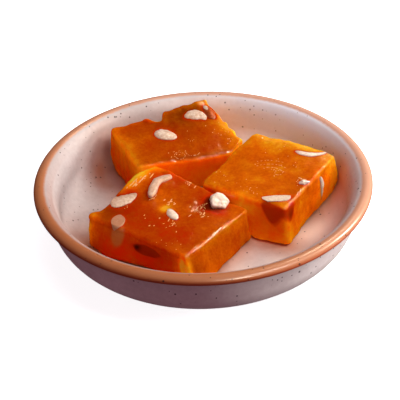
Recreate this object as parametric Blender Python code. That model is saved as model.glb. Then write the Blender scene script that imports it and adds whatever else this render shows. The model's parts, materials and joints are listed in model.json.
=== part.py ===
"""Bombay halwa in its dish: three hand-cut blocks of clear orange jelly sweet, set with almond pieces,
lying in a shallow stoneware bowl with a brown rim.

Sizes are in millimetres and are turned to metres where a mesh is made. +Z is up, the origin is the middle
of the bowl's foot, and -Y is the side that the three blocks are seen from.
"""

import math

import bmesh
import bpy
from mathutils import Matrix, Vector, noise

MM = 0.001
GAP = 0.3  # clear space that every piece keeps to its neighbours
SOCKET_GAP = 0.4  # the same round an almond piece, whose facets leave its smooth shape a little

# Bowl
RIM_RADIUS = 75.0
BOWL_HEIGHT = 30.0
BOWL_SEGMENTS = 64
FLOOR_TOP = 5.0
FLOOR_UNDERSIDE = 1.5
FLAT_FLOOR_RADIUS = 50.0
INNER_WALL_RADIUS = 64.6  # where the floor's curve has become the wall
INNER_CURVE_TOP = 17.0
OUTER_WALL_RADIUS = 69.0
OUTER_FLAT_RADIUS = 52.0
OUTER_CURVE_TOP = 16.5
FOOT_OUTER_RADIUS = 47.0
FOOT_INNER_RADIUS = 42.0
FOOT_DRAFT = 0.6
LIP_HALF_WIDTH = 2.8
LIP_HALF_HEIGHT = 2.0
LIP_STARTS, LIP_ENDS = 125, -95  # degrees round the lip, over its top from inside to outside
FLARE = ((0.7, 21.5), (2.0, 25.5), (4.2, 28.5))  # how far out the wall leans, and at what heights
OUTER_FLARE = (0.5, 24.0)
INNER_CURVE_STEPS, LIP_STEPS, OUTER_CURVE_STEPS = 7, 8, 6

# Halwa blocks, each placed by the middle of its top and seen in its own frame: u runs along its length,
# v along its width, and w up through its thickness, from 0 underneath
BLOCK_STEPS = 10
EDGE_ROUND = 1.2
CLEAR_ABOVE = 1.5  # a block gives way to its neighbour up to this far over the neighbour's top
SWELL_MOST = 1.2  # a side's bulge at its fullest, as a factor of the block's swell
SWELL_BELOW = 0.3  # and how far below the middle of the side that is, in half thicknesses
LUMP = 0.35  # unevenness of a hand-cut face
LUMP_WIDTH = 14.0
U, V, W = range(3)

# Each pull is one way in which the knife or the block's own weight moved its surface off the plain cuboid:
# along which of u, v and w, by how much, near what places, on which side, and where in its thickness.
# near holds (axis, place, reach) of bell shapes. side holds (axis, sign, power) of a slope that starts at
# the block's middle and is whole at that side.
FRONT = dict(
    name="halwa_front",
    centre=(-14.5, -18.0, 21.3),
    heading=-36.6,
    skew=-4.4,
    size=(50.8, 42.0, 15.9),
    rise=(0.0, 0.0),
    swell=0.8,
    seed=3.0,
    pulls=(
        # The top swells up along its far left edge, and less along its far right edge.
        dict(along=W, by=5.4, near=((U, -24.0, 17.0), (V, 13.0, 17.0)), whole_at="top"),
        dict(along=W, by=2.4, near=((U, 0.0, 16.0),), side=(V, 1, 2), whole_at="top"),
        # The far left side bows out, and ends in a small boss at the left corner.
        dict(along=U, by=-3.0, near=((V, 8.0, 12.0),), side=(U, -1, 2)),
        dict(along=U, by=-2.0, near=((V, -19.0, 6.0),), side=(U, -1, 4)),
        # The foot has spread on the right-hand side, and near the left corner.
        dict(along=U, by=4.2, near=((V, -14.0, 26.0),), side=(U, 1, 1), whole_at="foot"),
        dict(along=V, by=-3.2, near=((U, -15.0, 13.0),), side=(V, -1, 1), whole_at="foot"),
    ),
)
RIGHT = dict(
    name="halwa_right",
    centre=(30.5, 6.4, 26.9),
    heading=-31.6,
    skew=-4.4,
    size=(42.6, 45.6, 19.7),
    rise=(0.6, 4.5),
    swell=0.6,
    seed=11.0,
    pulls=(
        # The far end leans on the bowl's wall, so its own weight has drawn its underside down.
        dict(along=W, by=-2.4, near=((U, -21.0, 24.0),), side=(V, 1, 1), whole_at="foot"),
        # The foot has spread along the near side and at the near right corner.
        dict(along=V, by=-3.4, near=((U, 6.0, 18.0),), side=(V, -1, 2), whole_at="foot"),
        dict(along=U, by=1.5, near=((V, -22.0, 12.0),), side=(U, 1, 1), whole_at="foot"),
    ),
)
BACK = dict(
    name="halwa_back",
    centre=(-12.4, 35.4, 28.8),
    heading=15.3,
    skew=10.8,
    size=(50.6, 35.2, 18.4),
    rise=(5.6, 9.6),
    swell=0.2,
    seed=23.0,
    flare=0.09,  # it is wider at its right-hand end
    settles=True,
    rows=(-13.7, -7.7, -4.7, -2.2, 0.0, 2.6, 12.3),
    pulls=(
        # A piece is torn from the far edge, gently on its left and abruptly on its right.
        dict(along=V, by=-6.3, near=((U, -1.8, (5.5, 2.2)),), side=(V, 1, 3)),
        # The near edge of its top leans out over the near face.
        dict(along=V, by=-2.2, near=((U, 12.0, 16.0),), side=(V, -1, 1), whole_at="top"),
        # The foot of the left side has spread, and the bowl's wall has tucked in its far corner.
        dict(along=U, by=-3.0, side=(U, -1, 1), whole_at="foot"),
        dict(along=U, by=-1.6, near=((V, -18.0, 14.0),), side=(U, -1, 1), whole_at="foot"),
        dict(along=V, by=-4.0, near=((U, -24.0, 20.0),), side=(V, 1, 1), whole_at="foot"),
    ),
)
GIVES_WAY_TO = {"halwa_front": (), "halwa_right": (FRONT,), "halwa_back": (RIGHT, FRONT)}

# Almond pieces
TAPER = 1.5  # how late along its length a kernel starts to narrow to its point
CUT_FULLNESS = 2.2  # how full a standing kernel stays below its cut face
SLICE_SQUARENESS = 0.45  # how nearly even in thickness a slice is
SLICE_FACE = 0.95
BOW_MIDDLE = 0.4  # where along its half length, squared, a bent kernel crosses its own axis
CRUMB_SCALE = 1.7
CRUMB_SEED = (5.0, 9.0)

# Finishes, as linear red, green and blue
GLAZE = ((0.62, 0.50, 0.47), 0.28)
HALWA_ORANGE = ((0.62, 0.13, 0.006), 0.12)
BLANCHED_ALMOND = ((0.78, 0.62, 0.45), 0.55)
ALMOND_SKIN = ((0.22, 0.035, 0.012), 0.45)


def clear_scene():
    for obj in list(bpy.data.objects):
        bpy.data.objects.remove(obj, do_unlink=True)


def material(name, finish):
    colour, roughness = finish
    made = bpy.data.materials.new(name)
    made.use_nodes = True
    shader = made.node_tree.nodes["Principled BSDF"]
    shader.inputs["Base Color"].default_value = (*colour, 1)
    shader.inputs["Roughness"].default_value = roughness
    shader.inputs["Metallic"].default_value = 0.0
    return made


def new_object(name, bm, finish, smooth_below=35):
    """Turns a bmesh in millimetres into an object in metres, shaded smooth but for its sharp edges."""
    bmesh.ops.scale(bm, vec=(MM, MM, MM), verts=bm.verts)
    bmesh.ops.recalc_face_normals(bm, faces=bm.faces)
    mesh = bpy.data.meshes.new(name)
    bm.to_mesh(mesh)
    bm.free()
    mesh.shade_smooth()
    mesh.set_sharp_from_angle(angle=math.radians(smooth_below))
    mesh.materials.append(finish)
    obj = bpy.data.objects.new(name, mesh)
    bpy.context.scene.collection.objects.link(obj)
    return obj


def ellipse(centre, half_sizes, start, end, steps):
    """Points of an elliptical arc in the plane of radius and height, between two angles in degrees."""
    points = []
    for i in range(steps + 1):
        angle = math.radians(start + (end - start) * i / steps)
        points.append(
            (
                centre[0] + half_sizes[0] * math.cos(angle),
                centre[1] + half_sizes[1] * math.sin(angle),
            )
        )
    return points


def bowl_profile():
    """(radius, height) from the middle of the floor, up the wall, over the lip and back under the foot."""
    lip_centre = (RIM_RADIUS - LIP_HALF_WIDTH, BOWL_HEIGHT - LIP_HALF_HEIGHT)
    inner_sizes = (INNER_WALL_RADIUS - FLAT_FLOOR_RADIUS, INNER_CURVE_TOP - FLOOR_TOP)
    outer_sizes = (OUTER_WALL_RADIUS - OUTER_FLAT_RADIUS, OUTER_CURVE_TOP - FLOOR_UNDERSIDE)
    floor = [(0.0, FLOOR_TOP)]
    inner = ellipse((FLAT_FLOOR_RADIUS, INNER_CURVE_TOP), inner_sizes, -90, 0, INNER_CURVE_STEPS)
    flared = [(INNER_WALL_RADIUS + out, height) for out, height in FLARE]
    lip = ellipse(lip_centre, (LIP_HALF_WIDTH, LIP_HALF_HEIGHT), LIP_STARTS, LIP_ENDS, LIP_STEPS)
    outer_top = [(OUTER_WALL_RADIUS + OUTER_FLARE[0], OUTER_FLARE[1])]
    outer = ellipse((OUTER_FLAT_RADIUS, OUTER_CURVE_TOP), outer_sizes, 0, -90, OUTER_CURVE_STEPS)
    foot = [
        (FOOT_OUTER_RADIUS, FLOOR_UNDERSIDE),
        (FOOT_OUTER_RADIUS - FOOT_DRAFT, 0.0),
        (FOOT_INNER_RADIUS + FOOT_DRAFT, 0.0),
        (FOOT_INNER_RADIUS, FLOOR_UNDERSIDE),
    ]
    underside = [(0.0, FLOOR_UNDERSIDE)]
    return floor + inner + flared + lip + outer_top + outer + foot + underside


def make_bowl(finish):
    bm = bmesh.new()
    profile = [bm.verts.new((r, 0, z)) for r, z in bowl_profile()]
    edges = [bm.edges.new(pair) for pair in zip(profile, profile[1:])]
    bmesh.ops.spin(
        bm,
        geom=profile + edges,
        cent=(0, 0, 0),
        axis=(0, 0, 1),
        angle=math.tau,
        steps=BOWL_SEGMENTS,
    )
    bmesh.ops.remove_doubles(bm, verts=bm.verts, dist=0.001)
    return new_object("bowl", bm, finish)


def rest_in_bowl(point):
    """Moves a point that would sink into the bowl back inside it, as soft jelly gives way to the wall."""
    radius = math.hypot(point.x, point.y)
    out = max(0.0, radius - FLAT_FLOOR_RADIUS)
    down = INNER_CURVE_TOP - point.z
    across = INNER_WALL_RADIUS - FLAT_FLOOR_RADIUS - GAP
    deep = INNER_CURVE_TOP - FLOOR_TOP - GAP
    sunk = math.hypot(out / across, down / deep) if down > 0 else out / across
    if sunk <= 1 or out == 0:
        return Vector((point.x, point.y, max(point.z, FLOOR_TOP + GAP)))
    kept = (FLAT_FLOOR_RADIUS + out / sunk) / radius
    height = INNER_CURVE_TOP - down / sunk if down > 0 else point.z
    return Vector((point.x * kept, point.y * kept, height))


def turned(block):
    """The block's rotation: heading, then the rise of its far side and of its right-hand end."""
    length_rise, width_rise = block["rise"]
    return (
        Matrix.Rotation(math.radians(block["heading"]), 3, "Z")
        @ Matrix.Rotation(math.radians(-length_rise), 3, "Y")
        @ Matrix.Rotation(math.radians(width_rise), 3, "X")
    )


def widening(block, u):
    """How much wider than its stated width the block is at this place along its length."""
    return 1 + block.get("flare", 0.0) * 2 * u / block["size"][0]


def in_dish(block, u, v, w):
    """A place in the dish from a place in the block."""
    skew = math.radians(block["skew"])
    v = v * widening(block, u)
    down = w - block["size"][2]
    local = Vector((u - math.sin(skew) * v, math.cos(skew) * v, down))
    return turned(block) @ local + Vector(block["centre"])


def in_block(block, point):
    """The place in the block, as in_dish takes it, from a place in the dish."""
    under = in_dish(block, 0, 0, 0)
    x, y, w = turned(block).transposed() @ (point - under)
    skew = math.radians(block["skew"])
    v = y / math.cos(skew)
    u = x + math.sin(skew) * v
    return u, v / widening(block, u), w


def give_way(point, neighbour):
    """Moves a point that would sink into a neighbouring block out of its nearest side."""
    length, width, thickness = neighbour["size"]
    u, v, w = in_block(neighbour, point)
    margin = neighbour["swell"] * SWELL_MOST + LUMP + GAP
    past_u = length / 2 + margin - abs(u)
    past_v = width / 2 + margin - abs(v)
    if min(past_u, past_v) <= 0 or w > thickness + CLEAR_ABOVE:
        return point
    if past_u < past_v:
        return in_dish(neighbour, math.copysign(length / 2 + margin, u), v, w)
    return in_dish(neighbour, u, math.copysign(width / 2 + margin, v), w)


def bell(distance, reach):
    """1 at no distance, falling smoothly to nothing. A pair of reaches is one for each side."""
    if isinstance(reach, tuple):
        reach = reach[distance > 0]
    return math.exp(-((distance / reach) ** 2))


def cut_shape(block, u, v, w):
    """The place in the block, from a place in the plain cuboid, once every pull has moved it."""
    plain = (u, v, w)
    up = w / block["size"][W]
    share = {"top": up, "foot": 1 - up, "all through": 1.0}
    moved = Vector(plain)
    for pull in block["pulls"]:
        amount = pull["by"] * share[pull.get("whole_at", "all through")]
        for axis, place, reach in pull.get("near", ()):
            amount *= bell(plain[axis] - place, reach)
        if "side" in pull:
            axis, sign, power = pull["side"]
            amount *= max(0.0, sign * 2 * plain[axis] / block["size"][axis]) ** power
        moved[pull["along"]] += amount
    return moved


def settled(block, place):
    """The place in the dish, once a block that settles has sunk on to the bowl under its own weight."""
    at = in_dish(block, *place)
    if not block.get("settles"):
        return at
    underside = in_dish(block, place.x, place.y, 0)
    out = math.hypot(underside.x, underside.y) - FLAT_FLOOR_RADIUS
    out = min(1.0, max(0.0, out / (INNER_WALL_RADIUS - FLAT_FLOOR_RADIUS)))
    bowl = INNER_CURVE_TOP - (INNER_CURVE_TOP - FLOOR_TOP) * math.sqrt(1 - out * out)
    hangs = max(0.0, underside.z - bowl - GAP)
    at.z -= hangs * max(0.0, 1 - place.z / block["size"][W])
    return at


def grid_rows(half, core):
    """Rows of the grid across a face: one at each rounded edge, and the rest evenly over the flat part."""
    steps = BLOCK_STEPS - 2
    flat = [core * (2 * i / steps - 1) for i in range(steps + 1)]
    return [-half] + flat + [half]


def make_block(block, finish):
    """A cuboid with a fine grid on each face, its edges rounded, swollen a little and lumpy."""
    bm = bmesh.new()
    bmesh.ops.create_cube(bm, size=2)
    bmesh.ops.subdivide_edges(
        bm, edges=bm.edges, cuts=BLOCK_STEPS - 1, use_grid_fill=True
    )
    half = Vector(block["size"]) / 2
    core = half - Vector((EDGE_ROUND,) * 3)
    rows = [grid_rows(half[i], core[i]) for i in range(3)]
    rows[0][2:-2] = block.get("rows", rows[0][2:-2])
    for vert in bm.verts:
        place = Vector(
            rows[i][round((vert.co[i] + 1) / 2 * BLOCK_STEPS)] for i in range(3)
        )
        clamped = Vector(min(core[i], max(-core[i], place[i])) for i in range(3))
        outward = (place - clamped).normalized()
        shaped = clamped + outward * EDGE_ROUND
        # Sides bulge out below the middle, and every face is a little uneven.
        side = max(0.0, 1 - (shaped.z / half.z + SWELL_BELOW) ** 2)
        sideways = Vector((outward.x, outward.y, 0))
        shaped += sideways * block["swell"] * side * SWELL_MOST
        lump = noise.noise(shaped / LUMP_WIDTH + Vector((block["seed"],) * 3))
        shaped += outward * lump * LUMP * 2
        at = settled(block, cut_shape(block, shaped.x, shaped.y, shaped.z + half.z))
        for neighbour in GIVES_WAY_TO[block["name"]]:
            at = give_way(at, neighbour)
        vert.co = rest_in_bowl(at)
    return new_object(block["name"], bm, finish, smooth_below=60)


def kernel_point(x, y, z, form):
    """Moves a point of the unit ball on to an almond piece whose half sizes are all 1."""
    narrow = 1 - form.get("pointed", 0.0) * ((1 + x) / 2) ** TAPER
    if form.get("cut"):
        # Standing on its point, and cut across its broad end by the knife.
        depth = max(0.0, -z)
        spread = 1 - depth**CUT_FULLNESS
        reach = math.hypot(x, y) or 1.0
        across = spread if z < 0 else reach
        return x / reach * across, y / reach * across, -depth
    if form.get("slice"):
        # A slice is nearly even in thickness, and thins out only at its rim.
        z = math.copysign(abs(z) ** SLICE_SQUARENESS, z) * SLICE_FACE if z else 0.0
    return x, y * narrow, z * narrow


def make_almond(piece, finish, grow=0.0):
    """One piece of almond at its place in its block, or its socket where it is grown by the gap.

    at is where its middle is on the block's top and sunk how far that lies below the top. turn and tip
    are degrees about the block's upright and about the piece's own width, and roll about its length.
    """
    block, form = piece["block"], piece.get("form", {})
    bm = bmesh.new()
    bmesh.ops.create_uvsphere(bm, u_segments=12, v_segments=8, radius=1)
    if not form.get("cut"):
        lying = Matrix.Rotation(math.tau / 4, 3, "Y")
        bmesh.ops.rotate(bm, verts=bm.verts, cent=(0, 0, 0), matrix=lying)
    half = [side / 2 for side in piece["size"]]
    if form.get("cut"):
        half[2] *= 2
    for vert in bm.verts:
        x, y, z = kernel_point(*vert.co, form)
        crumbled = noise.noise(vert.co * CRUMB_SCALE + Vector((piece["sunk"], *CRUMB_SEED)))
        rough = 1 + form.get("rough", 0.0) * crumbled
        bow = form.get("bend", 0.0) * (BOW_MIDDLE - x * x)
        vert.co = Vector((x * half[0], y * half[1], z * half[2])) * rough
        vert.co.y += bow
    bm.normal_update()
    for vert, outward in [(vert, vert.normal.copy()) for vert in bm.verts]:
        vert.co += outward * grow
    rotation = (
        turned(block)
        @ Matrix.Rotation(math.radians(piece["turn"]), 3, "Z")
        @ Matrix.Rotation(math.radians(piece.get("tip", 0)), 3, "Y")
        @ Matrix.Rotation(math.radians(piece.get("roll", 0)), 3, "X")
    )
    centre = in_dish(block, *piece["at"], block["size"][2] - piece["sunk"])
    for vert in bm.verts:
        vert.co = rotation @ vert.co + centre
    name = piece["name"] + ("_socket" if grow else "")
    return new_object(name, bm, finish, smooth_below=40)


def set_in_block(piece, block_object, finish):
    """Makes the piece, and cuts its socket into the block."""
    make_almond(piece, finish)
    socket = make_almond(piece, finish, grow=SOCKET_GAP)
    socket.hide_render = True
    socket.display_type = "WIRE"
    cut = block_object.modifiers.new(socket.name, "BOOLEAN")
    cut.operation = "DIFFERENCE"
    cut.object = socket


# Every almond piece that shows at a face of its block, with sizes and places read off the photograph
ALMONDS = [
    dict(
        name="almond_front_curl",
        block=FRONT,
        at=(-16.0, 9.4),
        sunk=-4.1,
        turn=87,
        size=(17.5, 4.6, 3.0),
        form=dict(bend=4.2, slice=True),
    ),
    dict(
        name="almond_front_leaf",
        block=FRONT,
        at=(-21.7, -4.7),
        sunk=-1.3,
        turn=71,
        tip=-8,
        size=(13.4, 7.8, 2.2),
        form=dict(slice=True),
    ),
    dict(
        name="almond_front_left",
        block=FRONT,
        at=(-13.7, -17.2),
        sunk=-0.2,
        turn=0,
        size=(5.4, 5.2, 12.5),
        form=dict(cut=True),
    ),
    dict(
        name="almond_front_centre",
        block=FRONT,
        at=(0.8, -0.6),
        sunk=1.1,
        turn=-27,
        tip=-12,
        size=(11.0, 5.4, 3.4),
        form=dict(pointed=0.2),
    ),
    dict(
        name="almond_front_chunk",
        block=FRONT,
        at=(13.4, 16.4),
        sunk=-0.4,
        turn=25,
        size=(9.0, 7.8, 8.0),
        form=dict(rough=0.22),
    ),
    dict(
        name="almond_back_oval",
        block=BACK,
        at=(-4.5, 0.8),
        sunk=0.5,
        turn=-39,
        size=(11.4, 7.6, 2.8),
        form=dict(pointed=0.3, slice=True),
    ),
    dict(
        name="almond_back_crescent",
        block=BACK,
        at=(13.8, 7.4),
        sunk=0.7,
        turn=-30,
        roll=16,
        size=(11.0, 9.4, 2.4),
        form=dict(pointed=0.2, slice=True),
    ),
    dict(
        name="almond_back_brown",
        block=BACK,
        at=(21.5, 8.8),
        sunk=1.4,
        turn=97,
        size=(12.8, 5.0, 5.2),
        form=dict(pointed=0.35),
    ),
    dict(
        name="almond_right_far",
        block=RIGHT,
        at=(10.0, 17.4),
        sunk=0.6,
        turn=22,
        size=(15.0, 3.4, 2.8),
        form=dict(pointed=0.5, bend=-2.6, slice=True),
    ),
    dict(
        name="almond_right_cut",
        block=RIGHT,
        at=(13.6, -17.8),
        sunk=0.1,
        turn=30,
        size=(12.4, 5.6, 15.5),
        form=dict(cut=True),
    ),
    dict(
        name="almond_right_chip",
        block=RIGHT,
        at=(18.3, -2.5),
        sunk=0.3,
        turn=30,
        size=(5.6, 2.8, 2.4),
        form=dict(rough=0.25),
    ),
    dict(
        name="almond_right_side",
        block=RIGHT,
        at=(21.3, 7.0),
        sunk=9.2,
        turn=0,
        tip=90,
        size=(13.6, 2.6, 2.2),
        form=dict(pointed=0.5, bend=0.8),
    ),
]
SKINNED = ("almond_back_brown", "almond_right_cut")


def main():
    clear_scene()
    make_bowl(material("speckled_glaze", GLAZE))
    orange = material("halwa_jelly", HALWA_ORANGE)
    blocks = {
        block["name"]: make_block(block, orange) for block in (FRONT, RIGHT, BACK)
    }
    blanched = material("blanched_almond", BLANCHED_ALMOND)
    skin = material("almond_skin", ALMOND_SKIN)
    for piece in ALMONDS:
        finish = skin if piece["name"] in SKINNED else blanched
        set_in_block(piece, blocks[piece["block"]["name"]], finish)


main()
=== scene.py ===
# %% [markdown]
# # Orange halwa with almonds, in its dish
#
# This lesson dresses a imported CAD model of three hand-cut blocks of clear orange jelly sweet, set with
# almonds, in a shallow stoneware bowl. The CAD model fixes every size and place. Each cell makes one
# piece or one finish of it. Sizes are written in millimetres, because that is how the bowl and the
# sweets would be measured on a table, and +Z is up.

import json
import math
from functools import partial

import bpy
import numpy as np
from mathutils import Matrix, Vector, noise
from mathutils.bvhtree import BVHTree

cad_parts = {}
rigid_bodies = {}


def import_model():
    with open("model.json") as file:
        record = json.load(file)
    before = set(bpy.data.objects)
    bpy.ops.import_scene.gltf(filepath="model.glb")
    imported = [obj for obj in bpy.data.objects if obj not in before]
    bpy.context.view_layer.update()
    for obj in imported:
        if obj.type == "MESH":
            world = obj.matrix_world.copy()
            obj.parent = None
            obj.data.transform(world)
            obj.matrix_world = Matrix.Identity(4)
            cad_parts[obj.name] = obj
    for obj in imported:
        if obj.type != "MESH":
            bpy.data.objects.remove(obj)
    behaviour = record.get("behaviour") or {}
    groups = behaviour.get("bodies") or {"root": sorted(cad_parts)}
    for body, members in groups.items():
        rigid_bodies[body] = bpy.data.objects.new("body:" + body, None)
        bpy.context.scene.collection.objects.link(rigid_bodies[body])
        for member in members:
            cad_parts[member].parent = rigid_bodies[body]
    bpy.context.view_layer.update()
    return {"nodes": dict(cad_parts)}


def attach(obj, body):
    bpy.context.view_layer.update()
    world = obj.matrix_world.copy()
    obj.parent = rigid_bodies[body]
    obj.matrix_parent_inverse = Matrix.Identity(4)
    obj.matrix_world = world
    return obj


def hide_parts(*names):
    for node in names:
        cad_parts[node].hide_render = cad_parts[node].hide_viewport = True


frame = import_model()
print("CAD nodes:", ", ".join(sorted(frame["nodes"])))

# %% [markdown]
# ## Small helpers
#
# Blender works in metres and in linear colour. A maker thinks in millimetres and picks colours from a
# screen, which shows sRGB. So one factor turns lengths, and one function turns colours. An operator acts
# on everything that is selected, so there is also a function that clears the selection first.

# %% Lengths, colours and selection
MM = 0.001


def linear(hex_colour):
    """A linear colour with full alpha, from an sRGB hex value as a colour picker shows it."""
    parts = [int(hex_colour[i : i + 2], 16) / 255 for i in (1, 3, 5)]
    parts = [p / 12.92 if p <= 0.04045 else ((p + 0.055) / 1.055) ** 2.4 for p in parts]
    return (*parts, 1.0)


def select_only(*objects):
    """Leaves edit mode and selects these objects alone. The first one becomes the active one."""
    if bpy.context.object and bpy.context.object.mode != "OBJECT":
        bpy.ops.object.mode_set(mode="OBJECT")
    for obj in bpy.context.view_layer.objects:
        obj.select_set(obj in objects)
    if objects:
        bpy.context.view_layer.objects.active = objects[0]


select_only()
print("halwa orange in linear colour:", [round(c, 3) for c in linear("#C85000")])

# %% [markdown]
# The sweets and the almonds are shaped by formulas that move many vertices at once. A mesh hands its
# vertices over as one long row of numbers, so three functions read them, move them, and keep a number
# with each one. Such a number is an attribute, which a material can read by its name.

# %% Reading and writing a mesh
def places_of(piece):
    """The places of a piece's vertices, one row each, in metres."""
    numbers = np.empty(len(piece.data.vertices) * 3)
    piece.data.vertices.foreach_get("co", numbers)
    return numbers.reshape(-1, 3)


def move_vertices(piece, places):
    """Moves a piece's vertices to places in millimetres."""
    piece.data.vertices.foreach_set("co", (places * MM).ravel())
    piece.data.update()


def keep_attribute(piece, name, values):
    """Keeps a number with each vertex. One value alone is kept with all of them."""
    attribute = piece.data.attributes.new(name, "FLOAT", "POINT")
    attribute.data.foreach_set("value", np.broadcast_to(values, len(piece.data.vertices)).astype(float))


print("mesh helpers ready")

# %% [markdown]
# A node material is a graph. Adding a node always takes the same steps: make it, set its own options,
# and fill its input sockets with a number or with a link from another node. One function does them all
# and gives back what comes out of the node, so each material below reads as a list of what it is made of.

# %% Adding a node
MIX_FACTOR, MIX_A, MIX_B, MIX_OUT = 0, 6, 7, 2  # the colour sockets of Blender's Mix node


def fill_sockets(node, inputs):
    """Fills a node's inputs: another node's socket is linked, and anything else is set as a value."""
    for name, value in inputs.items():
        if isinstance(value, bpy.types.NodeSocket):
            node.id_data.links.new(value, node.inputs[name])
        else:
            node.inputs[name].default_value = value


def add_node(tree, kind, inputs=None, out=0, stops=(), **settings):
    """Adds a shader node and gives one of its outputs. Stops are a ramp's (position, hex colour)."""
    node = tree.nodes.new("ShaderNode" + kind)
    for name, value in settings.items():
        setattr(node, name, value)
    fill_sockets(node, inputs or {})
    if stops:
        colours = node.color_ramp.elements
        colours.remove(colours[-1])
        colours[0].position, colours[0].color = stops[0][0], linear(stops[0][1])
        for position, colour in stops[1:]:
            colours.new(position).color = linear(colour)
    return node.outputs[out]


def new_material(name, *attributes):
    """A node material, what adds nodes to it, its shader, places in millimetres and its attributes."""
    material = bpy.data.materials.new(name)
    material.use_nodes = True
    add = partial(add_node, material.node_tree)
    place = add("TexCoord", out="Object")
    millimetres = add("VectorMath", {0: place, 1: (1 / MM,) * 3}, operation="MULTIPLY")
    kept = [add("Attribute", attribute_name=a, attribute_type="GEOMETRY", out="Fac") for a in attributes]
    return material, add, material.node_tree.nodes["Principled BSDF"], millimetres, *kept


def layered(add, colour, layers):
    """A colour with others laid over it. A layer is its share, and a hex colour or a socket."""
    for share, over in layers:
        over = linear(over) if isinstance(over, str) else over
        colour = add("Mix", {MIX_FACTOR: share, MIX_A: colour, MIX_B: over}, MIX_OUT, data_type="RGBA")
    return colour


print("node helpers ready")

# %% [markdown]
# ## Camera, floor and light
#
# The camera stands where the photographer did: a little above the dish, looking down at about 35
# degrees, with a short telephoto lens. Its place came from fitting the bowl's rim, which is a circle, to
# the ellipse that it makes in the picture. Three unit vectors give its right, up and forward.

# %% Camera
LENS, SENSOR_WIDTH = 91.16, 36.0  # in mm, as on a real camera
CAMERA_PLACE = (0.0, -0.37416, 0.28001)
camera_right = Vector((0.999465, -0.016078, -0.028476))
camera_up = Vector((0.032529, 0.577929, 0.815439))
camera_forward = Vector((-0.003347, 0.815929, -0.578142))
camera_axes = Matrix((camera_right, camera_up, -camera_forward)).transposed()
camera_data = bpy.data.cameras.new("camera")
camera_data.lens = LENS
camera_data.sensor_width = SENSOR_WIDTH
camera_data.clip_start = 0.01
camera = bpy.data.objects.new("camera", camera_data)
bpy.context.scene.collection.objects.link(camera)
camera.matrix_world = Matrix.Translation(CAMERA_PLACE) @ camera_axes.to_4x4()
bpy.context.scene.camera = camera
print("camera distance to the dish:", round(Vector(CAMERA_PLACE).length / MM), "mm")

# %% [markdown]
# A product shot on white uses a pale floor that runs out of the picture on every side. The floor here
# neither colours the bowl nor shows in its glaze.

# %% Floor
bpy.ops.mesh.primitive_plane_add(size=6.0, location=(0, 0, 0))
floor = bpy.context.object
floor.name = "floor"
floor_material, _, floor_shader, _ = new_material("pale_matt_floor")
pale_and_matt = {"Base Color": linear("#F2F7F6"), "Roughness": 0.9, "Specular IOR Level": 0.1}
evenly_lit = {"Emission Color": linear("#FBFFFF"), "Emission Strength": 0.85}
fill_sockets(floor_shader, pale_and_matt | evenly_lit)
floor.data.materials.append(floor_material)
floor.visible_diffuse = False
floor.visible_glossy = False
print("floor material:", floor_material.name)

# %% [markdown]
# The light comes from the right and a little behind. That is read from the sweets: thin bright lines run
# along their edges, and their front left sides are dark. Two soft boxes on the right light the bodies
# of things, one high and one low, and a large weak one overhead keeps the shaded side from going black.
# One lamp at the front right does both, and its reflection is a soft streak. Four small lamps show only
# as gloss: each stands where its reflection falls on an edge that has to shine. The world is a rosy fill.

# %% Lamps and world
MATT, GLOSS, BOTH = "matt", "gloss", "both"
# Name, azimuth and elevation in degrees, distance and size in metres, watts, colour and what it lights.
LAMPS = (
    ("key_soft_box", 2, 38, 0.75, 0.2, 3.1, "#FFFDFA", MATT),
    ("low_side_lamp", -4, 8, 0.75, 0.2, 5.2, "#FFFDFA", MATT),
    ("streak_lamp", -34, 60, 0.75, 0.2, 2.2, "#FFFAF4", BOTH),
    ("right_edge_gloss_lamp", 12, 36, 0.75, 0.05, 3.7, "#FFF4DC", GLOSS),
    ("far_edge_gloss_lamp", 17, 34, 0.75, 0.06, 1.8, "#FFF4DC", GLOSS),
    ("near_edge_gloss_lamp", -66, 46, 0.75, 0.06, 2.9, "#FFF4DC", GLOSS),
    ("sparkle_lamp", 62, 52, 0.75, 0.05, 1.1, "#FFE8C8", GLOSS),
    ("top_fill", 40, 76, 0.8, 0.7, 2.2, "#FFFDFA", MATT),
)


def soft_lamp(name, azimuth, elevation, distance, size, watts, colour, lights):
    """A square soft box that looks at the dish. Azimuth 0 is the right, and 90 the back."""
    lamp_data = bpy.data.lights.new(name, "AREA")
    lamp_data.shape = "SQUARE"
    lamp_data.size = size
    lamp_data.energy = watts
    lamp_data.color = linear(colour)[:3]
    lamp = bpy.data.objects.new(name, lamp_data)
    bpy.context.scene.collection.objects.link(lamp)
    az, el = math.radians(azimuth), math.radians(elevation)
    towards = Vector((math.cos(az) * math.cos(el), math.sin(az) * math.cos(el), math.sin(el)))
    lamp.location = towards * distance
    lamp.rotation_euler = towards.to_track_quat("Z", "Y").to_euler()
    lamp.visible_glossy = lights != MATT
    lamp.visible_diffuse = lights != GLOSS


for lamp_numbers in LAMPS:
    soft_lamp(*lamp_numbers)
world = bpy.data.worlds.new("studio")
world.use_nodes = True
fill_sockets(world.node_tree.nodes["Background"], {"Color": linear("#FFBFD4"), "Strength": 0.23})
world.cycles_visibility.glossy = False
bpy.context.scene.world = world
bpy.context.scene.view_settings.view_transform = "Standard"

# %% [markdown]
# ## Finishing a piece
#
# Every finished piece sits at the origin with its place in its mesh, smooth shaded, with its faces
# pointing outwards. It stands for a node of the CAD model, or rides beside one on the only body, root.

# %% Finishing a piece
JELLY, GLAZE, ALMOND, SKIN = "halwa_jelly", "speckled_glaze", "blanched_almond", "almond_skin"
SAME_PLACE = 0.000001


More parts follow.
